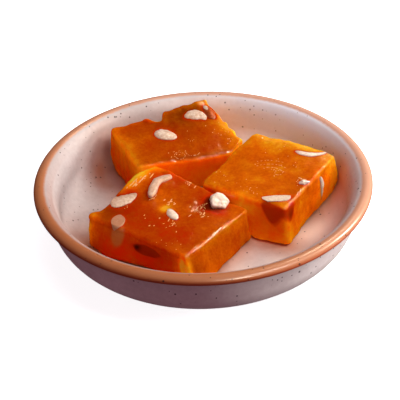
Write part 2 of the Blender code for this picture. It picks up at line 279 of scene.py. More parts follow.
def finish_piece(piece, material, stands_for=None):
    """Cleans a piece's mesh, gives it its material and hands it to the frame."""
    select_only(piece)
    bpy.ops.object.transform_apply(location=True, rotation=True, scale=True)
    bpy.ops.object.mode_set(mode="EDIT")
    bpy.ops.mesh.select_all(action="SELECT")
    bpy.ops.mesh.remove_doubles(threshold=SAME_PLACE)
    bpy.ops.mesh.normals_make_consistent(inside=False)
    bpy.ops.object.mode_set(mode="OBJECT")
    bpy.ops.object.shade_smooth()
    piece.data.materials.clear()
    piece.data.materials.append(material)
    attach(piece, "root")
    if stands_for:
        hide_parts(stands_for)
    print(piece.name, "has", len(piece.data.polygons), "faces")
    return piece


print("slots:", JELLY, GLAZE, ALMOND, SKIN)

# %% [markdown]
# ## The bowl
#
# The real bowl is thrown on a wheel, so it is one profile turned about its middle: a flat floor, a soft
# curve into a nearly upright wall, a rolled lip that stands proud outside, and a foot ring. It could be
# spun from a drawn profile. Here it is drawn up ring by ring, as a potter pulls a wall: a circle is
# added, then extruded, moved and scaled once for each point of the profile, and both ends are closed.

# %% Curves of a profile
def arc(centre, half_sizes, start, end, steps):
    """Points of an elliptical arc between two angles in degrees."""
    angles = [math.radians(start + (end - start) * i / steps) for i in range(steps + 1)]
    (x, y), (across, up) = centre, half_sizes
    return [(x + across * math.cos(a), y + up * math.sin(a)) for a in angles]


def between(a, b, c, d, t):
    """The value at the share t of the way from b to c, on a smooth curve through a, b, c and d."""
    line = 2 * b + (c - a) * t
    square = (2 * a - 5 * b + 4 * c - d) * t**2
    cube = (3 * b - a - 3 * c + d) * t**3
    return 0.5 * (line + square + cube)


def smooth_through(points, steps):
    """A smooth curve through a few (radius, height) points."""
    padded = [points[0], *points, points[-1]]
    curve = []
    for four in zip(padded, padded[1:], padded[2:], padded[3:]):
        curve += [tuple(between(*values, i / steps) for values in zip(*four)) for i in range(steps)]
    return curve + [points[-1]]


print("quarter circle:", [(round(x, 2), round(y, 2)) for x, y in arc((0, 0), (1, 1), 0, 90, 3)])

# %% The bowl's profile
RIM_RADIUS, BOWL_HEIGHT = 75.0, 30.0
FLOOR_TOP, FLOOR_UNDERSIDE = 5.0, 1.5
FLAT_FLOOR_RADIUS, INNER_WALL_RADIUS, INNER_CURVE_TOP = 50.0, 64.6, 17.0
OUTER_FLAT_RADIUS, OUTER_WALL_RADIUS, OUTER_CURVE_TOP = 52.0, 69.0, 16.5
LIP_HALF_WIDTH, LIP_HALF_HEIGHT = 2.8, 2.0
FLARE = ((65.3, 21.5), (66.6, 25.5), (68.8, 28.5))
SHOULDER = ((70.6, 25.4), (69.8, 24.4), (69.3, 22.5), (69.1, 19.5))
FOOT_PROFILE = ((47.2, 1.5), (46.9, 0.3), (46.3, 0.0), (42.7, 0.0), (42.1, 0.3), (41.8, 1.5))
BOWL_SIDES = 160
inner_sizes = (INNER_WALL_RADIUS - FLAT_FLOOR_RADIUS, INNER_CURVE_TOP - FLOOR_TOP)
outer_sizes = (OUTER_WALL_RADIUS - OUTER_FLAT_RADIUS, OUTER_CURVE_TOP - FLOOR_UNDERSIDE)
lip_centre = (RIM_RADIUS - LIP_HALF_WIDTH, BOWL_HEIGHT - LIP_HALF_HEIGHT)
floor_rings = [(r, FLOOR_TOP) for r in (0.8, 3.5, *range(6, 49, 3))]
inner_curve = arc((FLAT_FLOOR_RADIUS, INNER_CURVE_TOP), inner_sizes, -90, 0, 16)
lip_arc = arc(lip_centre, (LIP_HALF_WIDTH, LIP_HALF_HEIGHT), 125, -95, 22)
flare = smooth_through([inner_curve[-1], *FLARE, lip_arc[0]], 3)
outer_curve = arc((OUTER_FLAT_RADIUS, OUTER_CURVE_TOP), outer_sizes, 0, -90, 14)
underside = [(r, FLOOR_UNDERSIDE) for r in (30.0, 15.0, 0.8)]
inside, outside_down = [*floor_rings, *inner_curve, *flare[1:-1]], [*SHOULDER, *outer_curve]
profile = [*inside, *lip_arc, *outside_down, *FOOT_PROFILE, *underside]
print("profile points:", len(profile))

# %% Draw the bowl up ring by ring
select_only()
first_radius, first_height = profile[0]
bpy.ops.mesh.primitive_circle_add(
    vertices=BOWL_SIDES, radius=first_radius * MM, location=(0, 0, first_height * MM)
)
bowl = bpy.context.object
bowl.name = "glazed_bowl"
bpy.ops.object.transform_apply(location=True)
bpy.ops.object.mode_set(mode="EDIT")
bpy.ops.mesh.select_all(action="SELECT")
for (radius, height), (next_radius, next_height) in zip(profile, profile[1:]):
    rise = (0, 0, (next_height - height) * MM)
    bpy.ops.mesh.extrude_region_move(TRANSFORM_OT_translate={"value": rise})
    widen = next_radius / radius
    bpy.ops.transform.resize(value=(widen, widen, 1), center_override=(0, 0, 0))
bpy.ops.mesh.merge(type="CENTER")
bpy.ops.object.mode_set(mode="OBJECT")
for vert in bowl.data.vertices:
    in_first_ring = math.hypot(vert.co.x, vert.co.y) < 1.0 * MM
    vert.select = in_first_ring and vert.co.z > 3.0 * MM
bpy.ops.object.mode_set(mode="EDIT")
bpy.ops.mesh.merge(type="CENTER")
bpy.ops.object.mode_set(mode="OBJECT")
print("bowl is", [round(side / MM, 1) for side in bowl.dimensions], "mm")

# %% [markdown]
# A thrown bowl is never a perfect circle. Its wall wanders by a tenth of a millimetre as the wet clay
# settles, which shows as a highlight that swims a little along the rim. A slow wave does that, strongest
# at the lip and nothing at the foot. The whole wave lies inwards, so the bowl stays within its size.

# %% Let the wall wander
WANDER_IN, OVAL, RIPPLES = 0.16, 0.07, 0.05
for vert in bowl.data.vertices:
    x, y, z = vert.co / MM
    radius = math.hypot(x, y)
    if radius < 1:
        continue
    angle = math.atan2(y, x)
    share = max(0.0, z / BOWL_HEIGHT) ** 2 * min(1.0, radius / INNER_WALL_RADIUS)
    wander = -WANDER_IN + OVAL * math.sin(2 * angle + 0.6) + RIPPLES * math.sin(5 * angle + 2.0)
    vert.co.x += wander * share * math.cos(angle) * MM
    vert.co.y += wander * share * math.sin(angle) * MM
print("rim radius now", round(max(math.hypot(v.co.x, v.co.y) for v in bowl.data.vertices) / MM, 2), "mm")

# %% [markdown]
# ### Speckled stoneware glaze
#
# The clay is stoneware with iron in it, under a pale, faintly pink glaze. Three things give it away. Iron
# grains burn through as small dark specks, the glaze breaks to rusty brown where it runs thin on the lip,
# and its surface is glossy with a slight ripple. The colour is built in layers: a pale body with clouds in
# it, painted brighter on the walls where light falls, then painted light, then the brown lip, then painted
# shade and the specks. Where light and shade fall is kept on the bowl's vertices as attributes, which a
# cell near the end works out.

# %% Body of the glaze
glaze, add, shader, millimetres, outside, skylit, lamplit, warmth, shadowed = new_material(
    "speckled_stoneware_glaze", "outside", "skylit", "lamplit", "warmth", "shadowed"
)
flat = add("VectorMath", {0: millimetres, 1: (1.0, 1.0, 0.0)}, operation="MULTIPLY")
radius = add("VectorMath", {0: flat}, operation="LENGTH", out="Value")
height = add("SeparateXYZ", {0: millimetres}, out=2)
# Clouds in the glaze, about 18 mm across, and a finer mottle of 2 mm.
clouds = add("TexNoise", {"Vector": millimetres, "Scale": 0.055, "Detail": 3.0})
mottle = add("TexNoise", {"Vector": millimetres, "Scale": 0.5, "Detail": 4.0})
cloudy = add("Math", {0: clouds, 1: mottle}, operation="ADD")
half_cloudy = add("Math", {0: cloudy, 1: 0.5}, operation="MULTIPLY")
greys = ((0.36, "#B6ADAA"), (0.5, "#BDB4B1"), (0.64, "#C4BCB9"))
body = add("ValToRGB", {0: half_cloudy}, stops=greys)
# Painted light: the outside wall and the foot are painted brighter than the inside, and so is the inside of
# the back right wall, where the light falls.
painted_wall_gain = add("MapRange", {"Value": outside, "To Min": 0.95, "To Max": 1.2})
body = add("VectorMath", {0: body, 3: painted_wall_gain}, operation="SCALE")
print("material", glaze.name)

# %% [markdown]
# Specks are made from a cell pattern. A cell becomes a speck only where its random value is high, so
# they are scattered and differ in size. The cells are 4 mm and 2 mm wide, for the large specks and the
# small ones, and they fade on the back right wall, where the light washes them out.

# %% Specks
def specks(cell_mm, share, size):
    """Round dark specks: 1 inside a speck. share is the part of all cells that have one."""
    distance = add("TexVoronoi", {"Vector": millimetres, "Scale": 1 / cell_mm}, out="Distance")
    chosen = add("SeparateColor", {0: distance.node.outputs["Color"]})
    spread = add("Math", {0: chosen, 1: 1 - share}, operation="SUBTRACT")
    reach = add("Math", {0: spread, 1: size / share}, operation="MULTIPLY")
    inside = add("Math", {0: reach, 1: distance}, operation="SUBTRACT")
    return add("MapRange", {"Value": inside, "From Max": 0.05})


large_specks, small_specks = specks(4.2, 0.36, 0.15), specks(2.05, 0.42, 0.25)
all_specks = add("Math", {0: large_specks, 1: small_specks}, operation="MAXIMUM")
speck_most = add("MapRange", {"Value": skylit, "To Min": 0.9, "To Max": 0.35})
speck_strength = add("Math", {0: all_specks, 1: speck_most}, operation="MULTIPLY")
print("nodes so far:", len(glaze.node_tree.nodes))

# %% [markdown]
# The glaze breaks to brown from about 70 mm out, and down to 26 mm above the table outside. The mottle
# makes that border ragged. The brown is rusty at its lower edge and paler on top, most of all at the
# back right, where the lip turns to the light.

# %% Brown lip
ragged = add("MapRange", {"Value": mottle, "To Min": -0.5, "To Max": 0.5})
ragged_radius = add("Math", {0: radius, 1: ragged}, operation="ADD")
ragged_height = add("Math", {0: height, 1: ragged}, operation="ADD")
on_lip = add("MapRange", {"Value": ragged_radius, "From Min": 69.6, "From Max": 70.6})
up_high = add("MapRange", {"Value": ragged_height, "From Min": 25.4, "From Max": 26.3})
brown_share = add("Math", {0: on_lip, 1: up_high}, operation="MULTIPLY")
down_outside = add("MapRange", {"Value": height, "From Min": 26.6, "From Max": 29.4})
rusts = ((0.0, "#BA3C12"), (0.5, "#A84C24"), (1.0, "#B4744A"))
outer_rust = add("ValToRGB", {0: down_outside}, stops=rusts)
to_back_right = {0: millimetres, 1: (0.0052, 0.0066, 0.0)}
back_right = add("VectorMath", to_back_right, operation="DOT_PRODUCT", out="Value")
paler = add("Math", {0: back_right, 1: 0.42}, operation="ADD", use_clamp=True)
top_share = add("MapRange", {"Value": height, "From Min": 27.6, "From Max": 29.4})
paler_top = add("Math", {0: paler, 1: top_share}, operation="MULTIPLY")
rust = layered(add, outer_rust, [(paler_top, "#CE9E84")])
print("nodes so far:", len(glaze.node_tree.nodes))

# %% Lay the colours over each other
# Painted light: pale where sky and lamp light fall, and orange near the sweets. Painted shade is laid over
# the brown lip.
light_and_shade = [(skylit, "#E5ECF8"), (lamplit, "#FFF1E0"), (warmth, "#D9803A")]
rim_shade_and_specks = [(brown_share, rust), (shadowed, "#884420"), (speck_strength, "#3C241E")]
colour = layered(add, body, light_and_shade + rim_shade_and_specks)
# The bare foot ring stands on the table: it is rougher than the glaze, and the lip is the glossiest part.
foot_to_glaze = {"From Min": 0.5, "From Max": 1.6, "To Min": 0.75, "To Max": 0.55}
matt_foot = add("MapRange", {"Value": height} | foot_to_glaze)
glossy = add("Math", {0: brown_share, 1: -0.27, 2: matt_foot}, operation="MULTIPLY_ADD")
# A slow ripple, 6 mm from crest to crest.
ripple = add("TexNoise", {"Vector": millimetres, "Scale": 0.16, "Detail": 2.0})
bump = add("Bump", {"Height": ripple, "Strength": 0.25, "Distance": 0.4 * MM})
fill_sockets(shader, {"Base Color": colour, "Roughness": glossy, "IOR": 1.52, "Normal": bump})
finish_piece(bowl, glaze, stands_for="bowl")
bowl.visible_glossy = False

# %% [markdown]
# ## The halwa blocks
#
# Each sweet is a slab of cornflour jelly that was poured in a tray, left to set and cut with a knife. So
# it starts as a cuboid with rounded edges, and is then pulled out of true: its top has swelled where the
# tray was full, its foot has spread under its own weight, and it leans where it rests on the wall or on
# its neighbour. The numbers are those of the CAD model, so that the fine block lies inside the same form.
# U runs along a block, V across it, and W up through it. A pull moves the jelly along one axis, near
# some places, towards one side, and at the top or the foot.

# %% Numbers of the three blocks
U, V, W = range(3)
FRONT = dict(
    node="halwa_front", centre=(-14.5, -18.0, 21.3), heading=-36.6, skew=-4.4, size=(50.8, 42.0, 15.9),
    rise=(0.0, 0.0), swell=0.8, seed=3.0,
    pulls=(
        dict(along=W, by=5.4, near=((U, -24.0, 17.0), (V, 13.0, 17.0)), whole_at="top"),
        dict(along=W, by=2.4, near=((U, 0.0, 16.0),), side=(V, 1, 2), whole_at="top"),
        dict(along=U, by=-3.0, near=((V, 8.0, 12.0),), side=(U, -1, 2)),
        dict(along=U, by=-2.0, near=((V, -19.0, 6.0),), side=(U, -1, 4)),
        dict(along=U, by=4.2, near=((V, -14.0, 26.0),), side=(U, 1, 1), whole_at="foot"),
        dict(along=V, by=-3.2, near=((U, -15.0, 13.0),), side=(V, -1, 1), whole_at="foot"),
    ),
)
RIGHT = dict(
    node="halwa_right", centre=(30.5, 6.4, 26.9), heading=-31.6, skew=-4.4, size=(42.6, 45.6, 19.7),
    rise=(0.6, 4.5), swell=0.6, seed=11.0,
    pulls=(
        dict(along=W, by=-2.4, near=((U, -21.0, 24.0),), side=(V, 1, 1), whole_at="foot"),
        dict(along=V, by=-3.4, near=((U, 6.0, 18.0),), side=(V, -1, 2), whole_at="foot"),
        dict(along=U, by=1.5, near=((V, -22.0, 12.0),), side=(U, 1, 1), whole_at="foot"),
    ),
)
BACK = dict(
    node="halwa_back", centre=(-12.4, 35.4, 28.8), heading=15.3, skew=10.8, size=(50.6, 35.2, 18.4),
    rise=(5.6, 9.6), swell=0.2, seed=23.0, flare=0.09, settles=True,
    pulls=(
        dict(along=V, by=-6.5, near=((U, -2.0, (5.2, 2.6)),), side=(V, 1, 3)),
        dict(along=V, by=-2.2, near=((U, 12.0, 16.0),), side=(V, -1, 1), whole_at="top"),
        dict(along=U, by=-3.0, side=(U, -1, 1), whole_at="foot"),
        dict(along=U, by=-1.6, near=((V, -18.0, 14.0),), side=(U, -1, 1), whole_at="foot"),
        dict(along=V, by=-4.0, near=((U, -24.0, 20.0),), side=(V, 1, 1), whole_at="foot"),
        # These three are finer than the CAD model's: they move the top edges by about a millimetre.
        dict(along=V, by=1.6, near=((U, 22.0, 16.0),), side=(V, 1, 2), whole_at="top"),
        dict(along=V, by=-1.2, near=((U, 8.0, 26.0),), side=(V, -1, 2), whole_at="top"),
        dict(along=W, by=-0.7, near=((U, 14.0, 22.0),), side=(V, -1, 3), whole_at="top"),
    ),
)
BLOCKS = (FRONT, RIGHT, BACK)
print("block sizes in mm:", [block["size"] for block in BLOCKS])

# %% [markdown]
# The next functions carry a place from the plain cuboid to the dish. They work on whole arrays of points
# at once, because a block has tens of thousands of them: pull them out of true, turn the block into its
# place, let it settle on the bowl, and push it clear of the wall and of its neighbours.

# %% Into the dish and back
def turned(block):
    """The block's turn in the dish: its heading, and the rise along its length and its width."""
    length_rise, width_rise = block["rise"]
    return (
        Matrix.Rotation(math.radians(block["heading"]), 3, "Z")
        @ Matrix.Rotation(math.radians(-length_rise), 3, "Y")
        @ Matrix.Rotation(math.radians(width_rise), 3, "X")
    )


def in_dish(block, places):
    """Places in the dish, from places in the block."""
    skew = math.radians(block["skew"])
    u, v, w = places.T
    v = v * (1 + block.get("flare", 0.0) * 2 * u / block["size"][U])
    local = np.stack([u - math.sin(skew) * v, math.cos(skew) * v, w - block["size"][W]], 1)
    return local @ np.array(turned(block)).T + np.array(block["centre"])


def in_block(block, points):
    """Places in the block, from places in the dish."""
    under = in_dish(block, np.zeros((1, 3)))[0]
    x, y, w = ((points - under) @ np.array(turned(block))).T
    skew = math.radians(block["skew"])
    v = y / math.cos(skew)
    u = x + math.sin(skew) * v
    return np.stack([u, v / (1 + block.get("flare", 0.0) * 2 * u / block["size"][U]), w], 1)


print("front block's top middle lies at", in_dish(FRONT, np.array([[0, 0, FRONT["size"][W]]])).round(1)[0])


# %% Pull and settle
GAP = 0.3  # the room left between a block and what it lies on or against


def bell(distance, reach):
    """1 at no distance and fading beyond reach. Two reaches are for the two directions."""
    if isinstance(reach, tuple):
        reach = np.where(distance > 0, reach[1], reach[0])
    return np.exp(-((distance / reach) ** 2))


def pulled(block, plain):
    """Places in the block, pulled out of true by each of its pulls."""
    up = plain[:, W] / block["size"][W]
    share = {"top": up, "foot": 1 - up, "all through": 1.0}
    moved = plain.copy()
    for pull in block["pulls"]:
        amount = pull["by"] * share[pull.get("whole_at", "all through")]
        for axis, place, reach in pull.get("near", ()):
            amount = amount * bell(plain[:, axis] - place, reach)
        if "side" in pull:
            axis, sign, power = pull["side"]
            amount = amount * np.maximum(0.0, sign * 2 * plain[:, axis] / block["size"][axis]) ** power
        moved[:, pull["along"]] += amount
    return moved


def bowl_floor(points):
    """Height of the bowl's inside under each point."""
    out = (np.hypot(points[:, 0], points[:, 1]) - FLAT_FLOOR_RADIUS) / inner_sizes[0]
    return INNER_CURVE_TOP - inner_sizes[1] * np.sqrt(1 - np.clip(out, 0.0, 1.0) ** 2)


def settled(block, places):
    """Places in the dish, with the foot of a block that settles let down on the bowl."""
    at = in_dish(block, places)
    if block.get("settles"):
        foot = in_dish(block, places * (1, 1, 0))
        hangs = np.maximum(0.0, foot[:, 2] - bowl_floor(foot) - GAP)
        at[:, 2] -= hangs * np.maximum(0.0, 1 - places[:, W] / block["size"][W])
    return at


print("the bowl's floor 60 mm out is at", bowl_floor(np.array([[60.0, 0.0, 0.0]])).round(1)[0], "mm")

# %% Stay clear of the neighbours
GIVES_WAY_TO = {"halwa_front": (), "halwa_right": (FRONT,), "halwa_back": (RIGHT, FRONT)}
CLEAR_ABOVE = 1.5
LUMP, LUMP_WIDTH = 0.35, 14.0
SWELL_MOST, SWELL_BELOW = 1.2, 0.3


def clear_of(neighbour, points):
    """Points that would sink into a neighbouring block, moved out of its nearest side."""
    places = in_block(neighbour, points)
    half = np.array(neighbour["size"][:2]) / 2 + neighbour["swell"] * SWELL_MOST + LUMP + GAP
    past = half - np.abs(places[:, :2])
    inside = (past.min(1) > 0) & (places[:, W] <= neighbour["size"][W] + CLEAR_ABOVE)
    nearest = past.argmin(1)
    for axis in (U, V):
        move = inside & (nearest == axis)
        places[move, axis] = np.copysign(half[axis], places[move, axis])
    return np.where(inside[:, None], in_dish(neighbour, places), points)


def clear_of_bowl(points):
    """Points that would sink into the bowl, moved back inside it."""
    radius = np.hypot(points[:, 0], points[:, 1])
    out = np.maximum(0.0, radius - FLAT_FLOOR_RADIUS)
    down = INNER_CURVE_TOP - points[:, 2]
    across, deep = inner_sizes[0] - GAP, inner_sizes[1] - GAP
    sunk = np.hypot(out / across, np.maximum(down, 0.0) / deep)
    kept = points.copy()
    over_flat_floor = (sunk <= 1) | (out == 0)
    kept[over_flat_floor, 2] = np.maximum(points[over_flat_floor, 2], FLOOR_TOP + GAP)
    wall = ~over_flat_floor
    shrink = (FLAT_FLOOR_RADIUS + out[wall] / sunk[wall]) / radius[wall]
    kept[wall, :2] *= shrink[:, None]
    low = wall & (down > 0)
    kept[low, 2] = INNER_CURVE_TOP - down[low] / sunk[low]
    return kept


print("blocks that give way:", {node: len(others) for node, others in GIVES_WAY_TO.items()})

# %% [markdown]
# ### The cut blocks
#
# A cube is added and subdivided into a grid. Its rows are then spread out so that they crowd at the
# edges, which gives the round of each edge enough faces to catch a thin highlight. A jelly's surface is
# wet and never quite flat, and a knife tears its edges a little. So waves of four widths, from 14 mm down
# to 1 mm, are added along the outward direction, and the finer ones are deeper near an edge. Single dents
# and knobs follow the photograph. Then the block takes its place in the dish.

# %% Rows of the grid
GRID_STEPS = 104
ROUND_STEPS = 6
EDGE_ROUND = 1.7


def face_rows(half):
    """Places of the grid's rows from one side to the other, crowded over the rounded edges."""
    core = half - EDGE_ROUND
    flat = np.linspace(-core, core, GRID_STEPS + 1 - 2 * ROUND_STEPS)
    angles = np.arange(1, ROUND_STEPS + 1) / ROUND_STEPS * math.pi / 4
    ends = core + EDGE_ROUND * np.tan(angles)
    return np.concatenate([-ends[::-1], flat, ends])


def rounded_cuboid(block):
    """A block's object, the places of its vertices in a plain rounded cuboid, and the way each faces."""
    select_only()
    bpy.ops.mesh.primitive_cube_add(size=2)
    piece = bpy.context.object
    piece.name = block["node"] + "_jelly"
    bpy.ops.object.mode_set(mode="EDIT")
    bpy.ops.mesh.select_all(action="SELECT")
    bpy.ops.mesh.subdivide(number_cuts=GRID_STEPS - 1)
    bpy.ops.object.mode_set(mode="OBJECT")
    row_of = np.rint((places_of(piece) + 1) / 2 * GRID_STEPS).astype(int)
    half = np.array(block["size"]) / 2
    place = np.stack([face_rows(half[axis])[row_of[:, axis]] for axis in (U, V, W)], 1)
    core = half - EDGE_ROUND
    clamped = np.clip(place, -core, core)
    outward = place - clamped
    outward /= np.linalg.norm(outward, axis=1)[:, None]
    return piece, clamped + outward * EDGE_ROUND + (0, 0, half[W]), outward


print("rows across 42 mm, first seven:", face_rows(21.0)[:7].round(2))

# %% Cut one block
# The waves below the widest: width, seed, depth, and how much deeper they are at an edge.
FINE_WAVES = ((5.0, 40, 0.10, 0.24), (2.4, 80, 0.04, 0.09), (1.1, 120, 0.012, 0.03))
EDGE_FADE = 2.0


def waves(points, width, seed):
    """Smooth unevenness from about -1 to 1, with hills about as wide as width."""
    shift = Vector((seed, seed, seed))
    return np.array([noise.noise(Vector(p) / width + shift) for p in points]) * 2


def cut_block(block):
    """The block's object, with the place in the plain cuboid of each of its vertices."""
    piece, plain, outward = rounded_cuboid(block)
    half = np.array(block["size"]) / 2
    side = np.maximum(0.0, 1 - ((plain[:, W] - half[W]) / half[W] + SWELL_BELOW) ** 2)
    shaped = plain + outward * (1, 1, 0) * (block["swell"] * side * SWELL_MOST)[:, None]
    centred = shaped - (0, 0, half[W])
    uneven = waves(centred, LUMP_WIDTH, block["seed"]) * LUMP
    near_edge = np.exp(-np.sort(half - np.abs(centred), axis=1)[:, 1] / EDGE_FADE)
    for width, seed, depth, at_edge in FINE_WAVES:
        uneven += waves(centred, width, block["seed"] + seed) * (depth + at_edge * near_edge)
    for u, v, reach, depth in block["dents"]:
        uneven -= depth * bell(np.hypot(plain[:, U] - u, plain[:, V] - v), reach) * (outward[:, W] > 0.3)
    for place, reach, height in block["knobs"]:
        uneven += height * bell(np.linalg.norm(plain - place, axis=1), reach)
    at = settled(block, pulled(block, shaped + outward * uneven[:, None]))
    for neighbour in GIVES_WAY_TO[block["node"]]:
        at = clear_of(neighbour, at)
    move_vertices(piece, clear_of_bowl(at))
    print(piece.name, "is", [round(side / MM, 1) for side in piece.dimensions], "mm")
    return piece, plain, outward


# A dent is u, v, reach and depth, on the top. A knob is a place, a reach and a height.
FRONT["dents"] = ((4.5, 14, 3.2, 0.35), (8.5, 9.5, 2.6, 0.8), (-6, 2, 5.0, 0.35), (12, -4, 6.0, 0.3))
RIGHT["dents"] = ((-8, 6, 5.0, 0.25), (6, -8, 4.0, 0.2))
BACK["dents"] = ((2, -6, 3.0, 0.3), (-12, -4, 5.0, 0.25))
FRONT["knobs"] = (((-24, -20, 14.5), 2.4, 0.8), ((25, 15, 15), 2.5, -0.5), ((25, 2, 16), 2.5, 0.4))
RIGHT["knobs"] = (((-2, 22.5, 19), 3.0, 0.4), ((21, 22, 19), 4.0, -0.9), ((21, -3, 19), 1.5, 0.5))
BACK["knobs"] = (
    ((-7, 17, 17.5), 1.7, 1.3), ((3, 17.5, 17), 2.0, 0.7), ((25, -7, 17), 1.8, 0.9),
    ((25, -1, 17.5), 1.6, 0.6), ((25, -13, 17), 1.8, 0.9), ((24, 14, 18), 3.0, -0.6),
)
blocks = {block["node"]: cut_block(block) for block in BLOCKS}

# %% [markdown]
# ## The almonds
#
# Skinned almonds were stirred into the hot sweet: whole halves, thin slices and broken bits. When the
# slab was cut, the knife went through some of them, and a few kept their brown skin. They are made from a
# ball: pointed at one end, flattened for a slice, bent, chipped, or cut across. Their places come from
# the CAD model. Here the jelly holds them tight, so each one simply stands in its block and shows where
# it comes out of it. A veiled piece lies under a film of jelly, and a fresh one is broken and paler.

# %% Numbers of the almond pieces
# The chunk's flat breaks: the way each faces, to the right, up and to the viewer, and how far out it is.
CHUNK_FACES = (
    ((0.27, 0.96, 0.0), 4.0), ((0.73, 0.69, 0.0), 3.7), ((0.8, -0.6, 0.0), 3.4), ((0.56, -0.83, 0.0), 3.2),
    ((0.0, -1.0, 0.0), 4.1), ((-0.96, -0.27, 0.0), 3.5), ((-0.87, 0.48, 0.0), 4.2), ((-0.5, 0.87, 0.0), 4.3),
    ((0.1, 0.25, 0.96), 2.6), ((-0.1, -0.75, 0.65), 3.1), ((0.6, 0.1, 0.8), 3.2), ((0.0, 0.0, -1.0), 3.5),
)
ALMOND_PIECES = [
    dict(node="almond_front_curl", block=FRONT, at=(-15.0, 9.4), sunk=-4.05, turn=87, size=(17.5, 3.8, 3.0),
         form=dict(elbow=4.6, slice=True, blunt=3.4), veiled=0.38),
    dict(node="almond_front_leaf", block=FRONT, at=(-21.7, -4.7), sunk=-1.3, turn=71, tip=-8,
         size=(13.4, 7.8, 2.2), form=dict(slice=True, blunt=2.3)),
    dict(node="almond_front_left", block=FRONT, at=(-13.4, -17.8), sunk=-0.75, turn=33, size=(5.6, 7.9, 14.5),
         form=dict(cut=True, fullness=5.0), veiled=0.8),
    dict(node="almond_front_centre", block=FRONT, at=(0.6, -0.4), sunk=0.3, turn=-27, tip=-9,
         size=(10.4, 6.0, 3.4), form=dict(pointed=0.3), fresh=0.7),
    dict(node="almond_front_chunk", block=FRONT, at=(12.9, 16.7), sunk=-0.94, size=(2, 2, 2),
         form=dict(faces=CHUNK_FACES), fresh=0.8),
    dict(node="almond_back_oval", block=BACK, at=(-4.5, 0.8), sunk=0.5, turn=-39, size=(11.4, 7.6, 2.8),
         form=dict(pointed=0.3, slice=True)),
    dict(node="almond_back_crescent", block=BACK, at=(13.8, 7.4), sunk=0.7, turn=-30, roll=16,
         size=(11.0, 9.4, 2.4), form=dict(pointed=0.2, slice=True)),
    dict(node="almond_back_brown", block=BACK, at=(21.5, 8.8), sunk=1.4, turn=97, size=(12.8, 5.0, 5.2),
         form=dict(pointed=0.35, bare_patch=((0.62, 0.1, 0.75), 0.5))),
    dict(node="almond_right_far", block=RIGHT, at=(10.0, 17.4), sunk=0.6, turn=22, size=(15.0, 3.8, 2.8),
         form=dict(pointed=0.5, bend=-2.6, slice=True), fresh=1.0),
    dict(node="almond_right_cut", block=RIGHT, at=(13.6, -17.8), sunk=-0.5, turn=30, size=(12.4, 6.2, 15.5),
         form=dict(cut=True, half_moon=0.25), fresh=0.1),
    dict(node="almond_right_chip", block=RIGHT, at=(18.9, -3.6), sunk=-0.1, turn=28, size=(5.8, 2.8, 2.6),
         form=dict(facets=7), fresh=1.0),
    dict(node="almond_right_side", block=RIGHT, at=(21.5, 6.8), sunk=9.2, tip=90, size=(13.6, 3.0, 2.4),
         form=dict(pointed=0.5, bend=0.8), fresh=1.0),
]
SKINNED = ("almond_back_brown", "almond_right_cut")
print(len(ALMOND_PIECES), "almond pieces, of which", len(SKINNED), "keep their skin")


# %% Find the nearest place on a piece
def tree_of(pieces):
    """One search tree over several pieces, in millimetres."""
    verts, faces = [], []
    for piece in pieces:
        start = len(verts)
        verts += [tuple(v.co / MM) for v in piece.data.vertices]
        faces += [tuple(start + i for i in p.vertices) for p in piece.data.polygons]
    return BVHTree.FromPolygons(verts, faces)


block_trees = {node: tree_of([cut[0]]) for node, cut in blocks.items()}
print("search trees for", len(block_trees), "blocks")

# %% From a ball to a kernel
TAPER, CUT_FULLNESS, SLICE_SQUARENESS, SLICE_FACE = 1.5, 2.2, 0.45, 0.95
TINY = 1e-6


def kernel(points, form):
    """Moves points of the unit ball on to an almond piece whose half sizes are all 1."""
    x, y, z = points.T
    if form.get("cut"):
        depth = np.maximum(0.0, -z)
        reach = np.maximum(np.hypot(x, y), TINY)
        across = np.where(z < 0, 1 - depth ** form.get("fullness", CUT_FULLNESS), reach)
        y = np.where(y > 0, y * form.get("half_moon", 1.0), y)
        return np.stack([x / reach * across, y / reach * across, -depth], 1)
    narrow = 1 - form.get("pointed", 0.0) * ((1 + x) / 2) ** TAPER
    if form.get("blunt"):
        flat = np.maximum(np.hypot(x, y), TINY)
        power = form["blunt"]
        widen = (np.abs(x / flat) ** power + np.abs(y / flat) ** power) ** (-1 / power)
        x, y = x * widen, y * widen
    if form.get("slice"):
        z = np.copysign(np.abs(z) ** SLICE_SQUARENESS, z) * SLICE_FACE
    return np.stack([x, y * narrow, z * narrow], 1)


def bent(shape, half_length, bend, elbow):
    """The shape bent sideways in millimetres: evenly by bend, and at one place by elbow."""
    along = shape[:, 0] / half_length
    from_elbow = np.sqrt((along - 0.25) ** 2 + 0.03)
    leans = np.arctan((-2 * bend * along - elbow * (along - 0.25) / from_elbow) / half_length)
    x = shape[:, 0] - shape[:, 1] * np.sin(leans)
    y = shape[:, 1] * np.cos(leans) + bend * (0.4 - along**2) + elbow * (0.5 - from_elbow)
    return np.stack([x, y, shape[:, 2]], 1)


print("a pointed tip is", kernel(np.array([[0.8, 0.6, 0.0]]), dict(pointed=0.5)).round(2)[0])

# %% [markdown]
# A broken almond has flat breaks. Each break is a plane, and the surface lies where the nearest plane
# cuts the line out from the middle. A chip's planes are spread evenly around it by a spiral.

# %% Broken almonds
ROUND_THE_SPIRAL = 2.4


def broken(ball, faces, seed):
    """The ball cut back to flat breaks, with a slightly rough surface."""
    reaches = [how_far / np.maximum(ball @ np.array(facing), 0.01) for facing, how_far in faces]
    shape = ball * np.min(reaches, axis=0)[:, None]
    return shape + ball * waves(shape, 1.0, seed)[:, None] * 0.18


def chipped(ball, facets):
    """What share of its reach a chip keeps in each direction."""
    kept = np.ones(len(ball))
    for i in range(facets):
        lean, around = math.acos(1 - 2 * (i + 0.5) / facets), ROUND_THE_SPIRAL * i + 0.7
        sideways = math.sin(lean)
        facing = np.array([sideways * math.cos(around), sideways * math.sin(around), math.cos(lean)])
        kept = np.minimum(kept, (0.66 + 0.1 * math.sin(5 * i)) / np.maximum(ball @ facing, 0.05))
    return kept


print("a chip keeps", chipped(np.array([[0.0, 0.0, 1.0]]), 7).round(2)[0], "of its reach upwards")

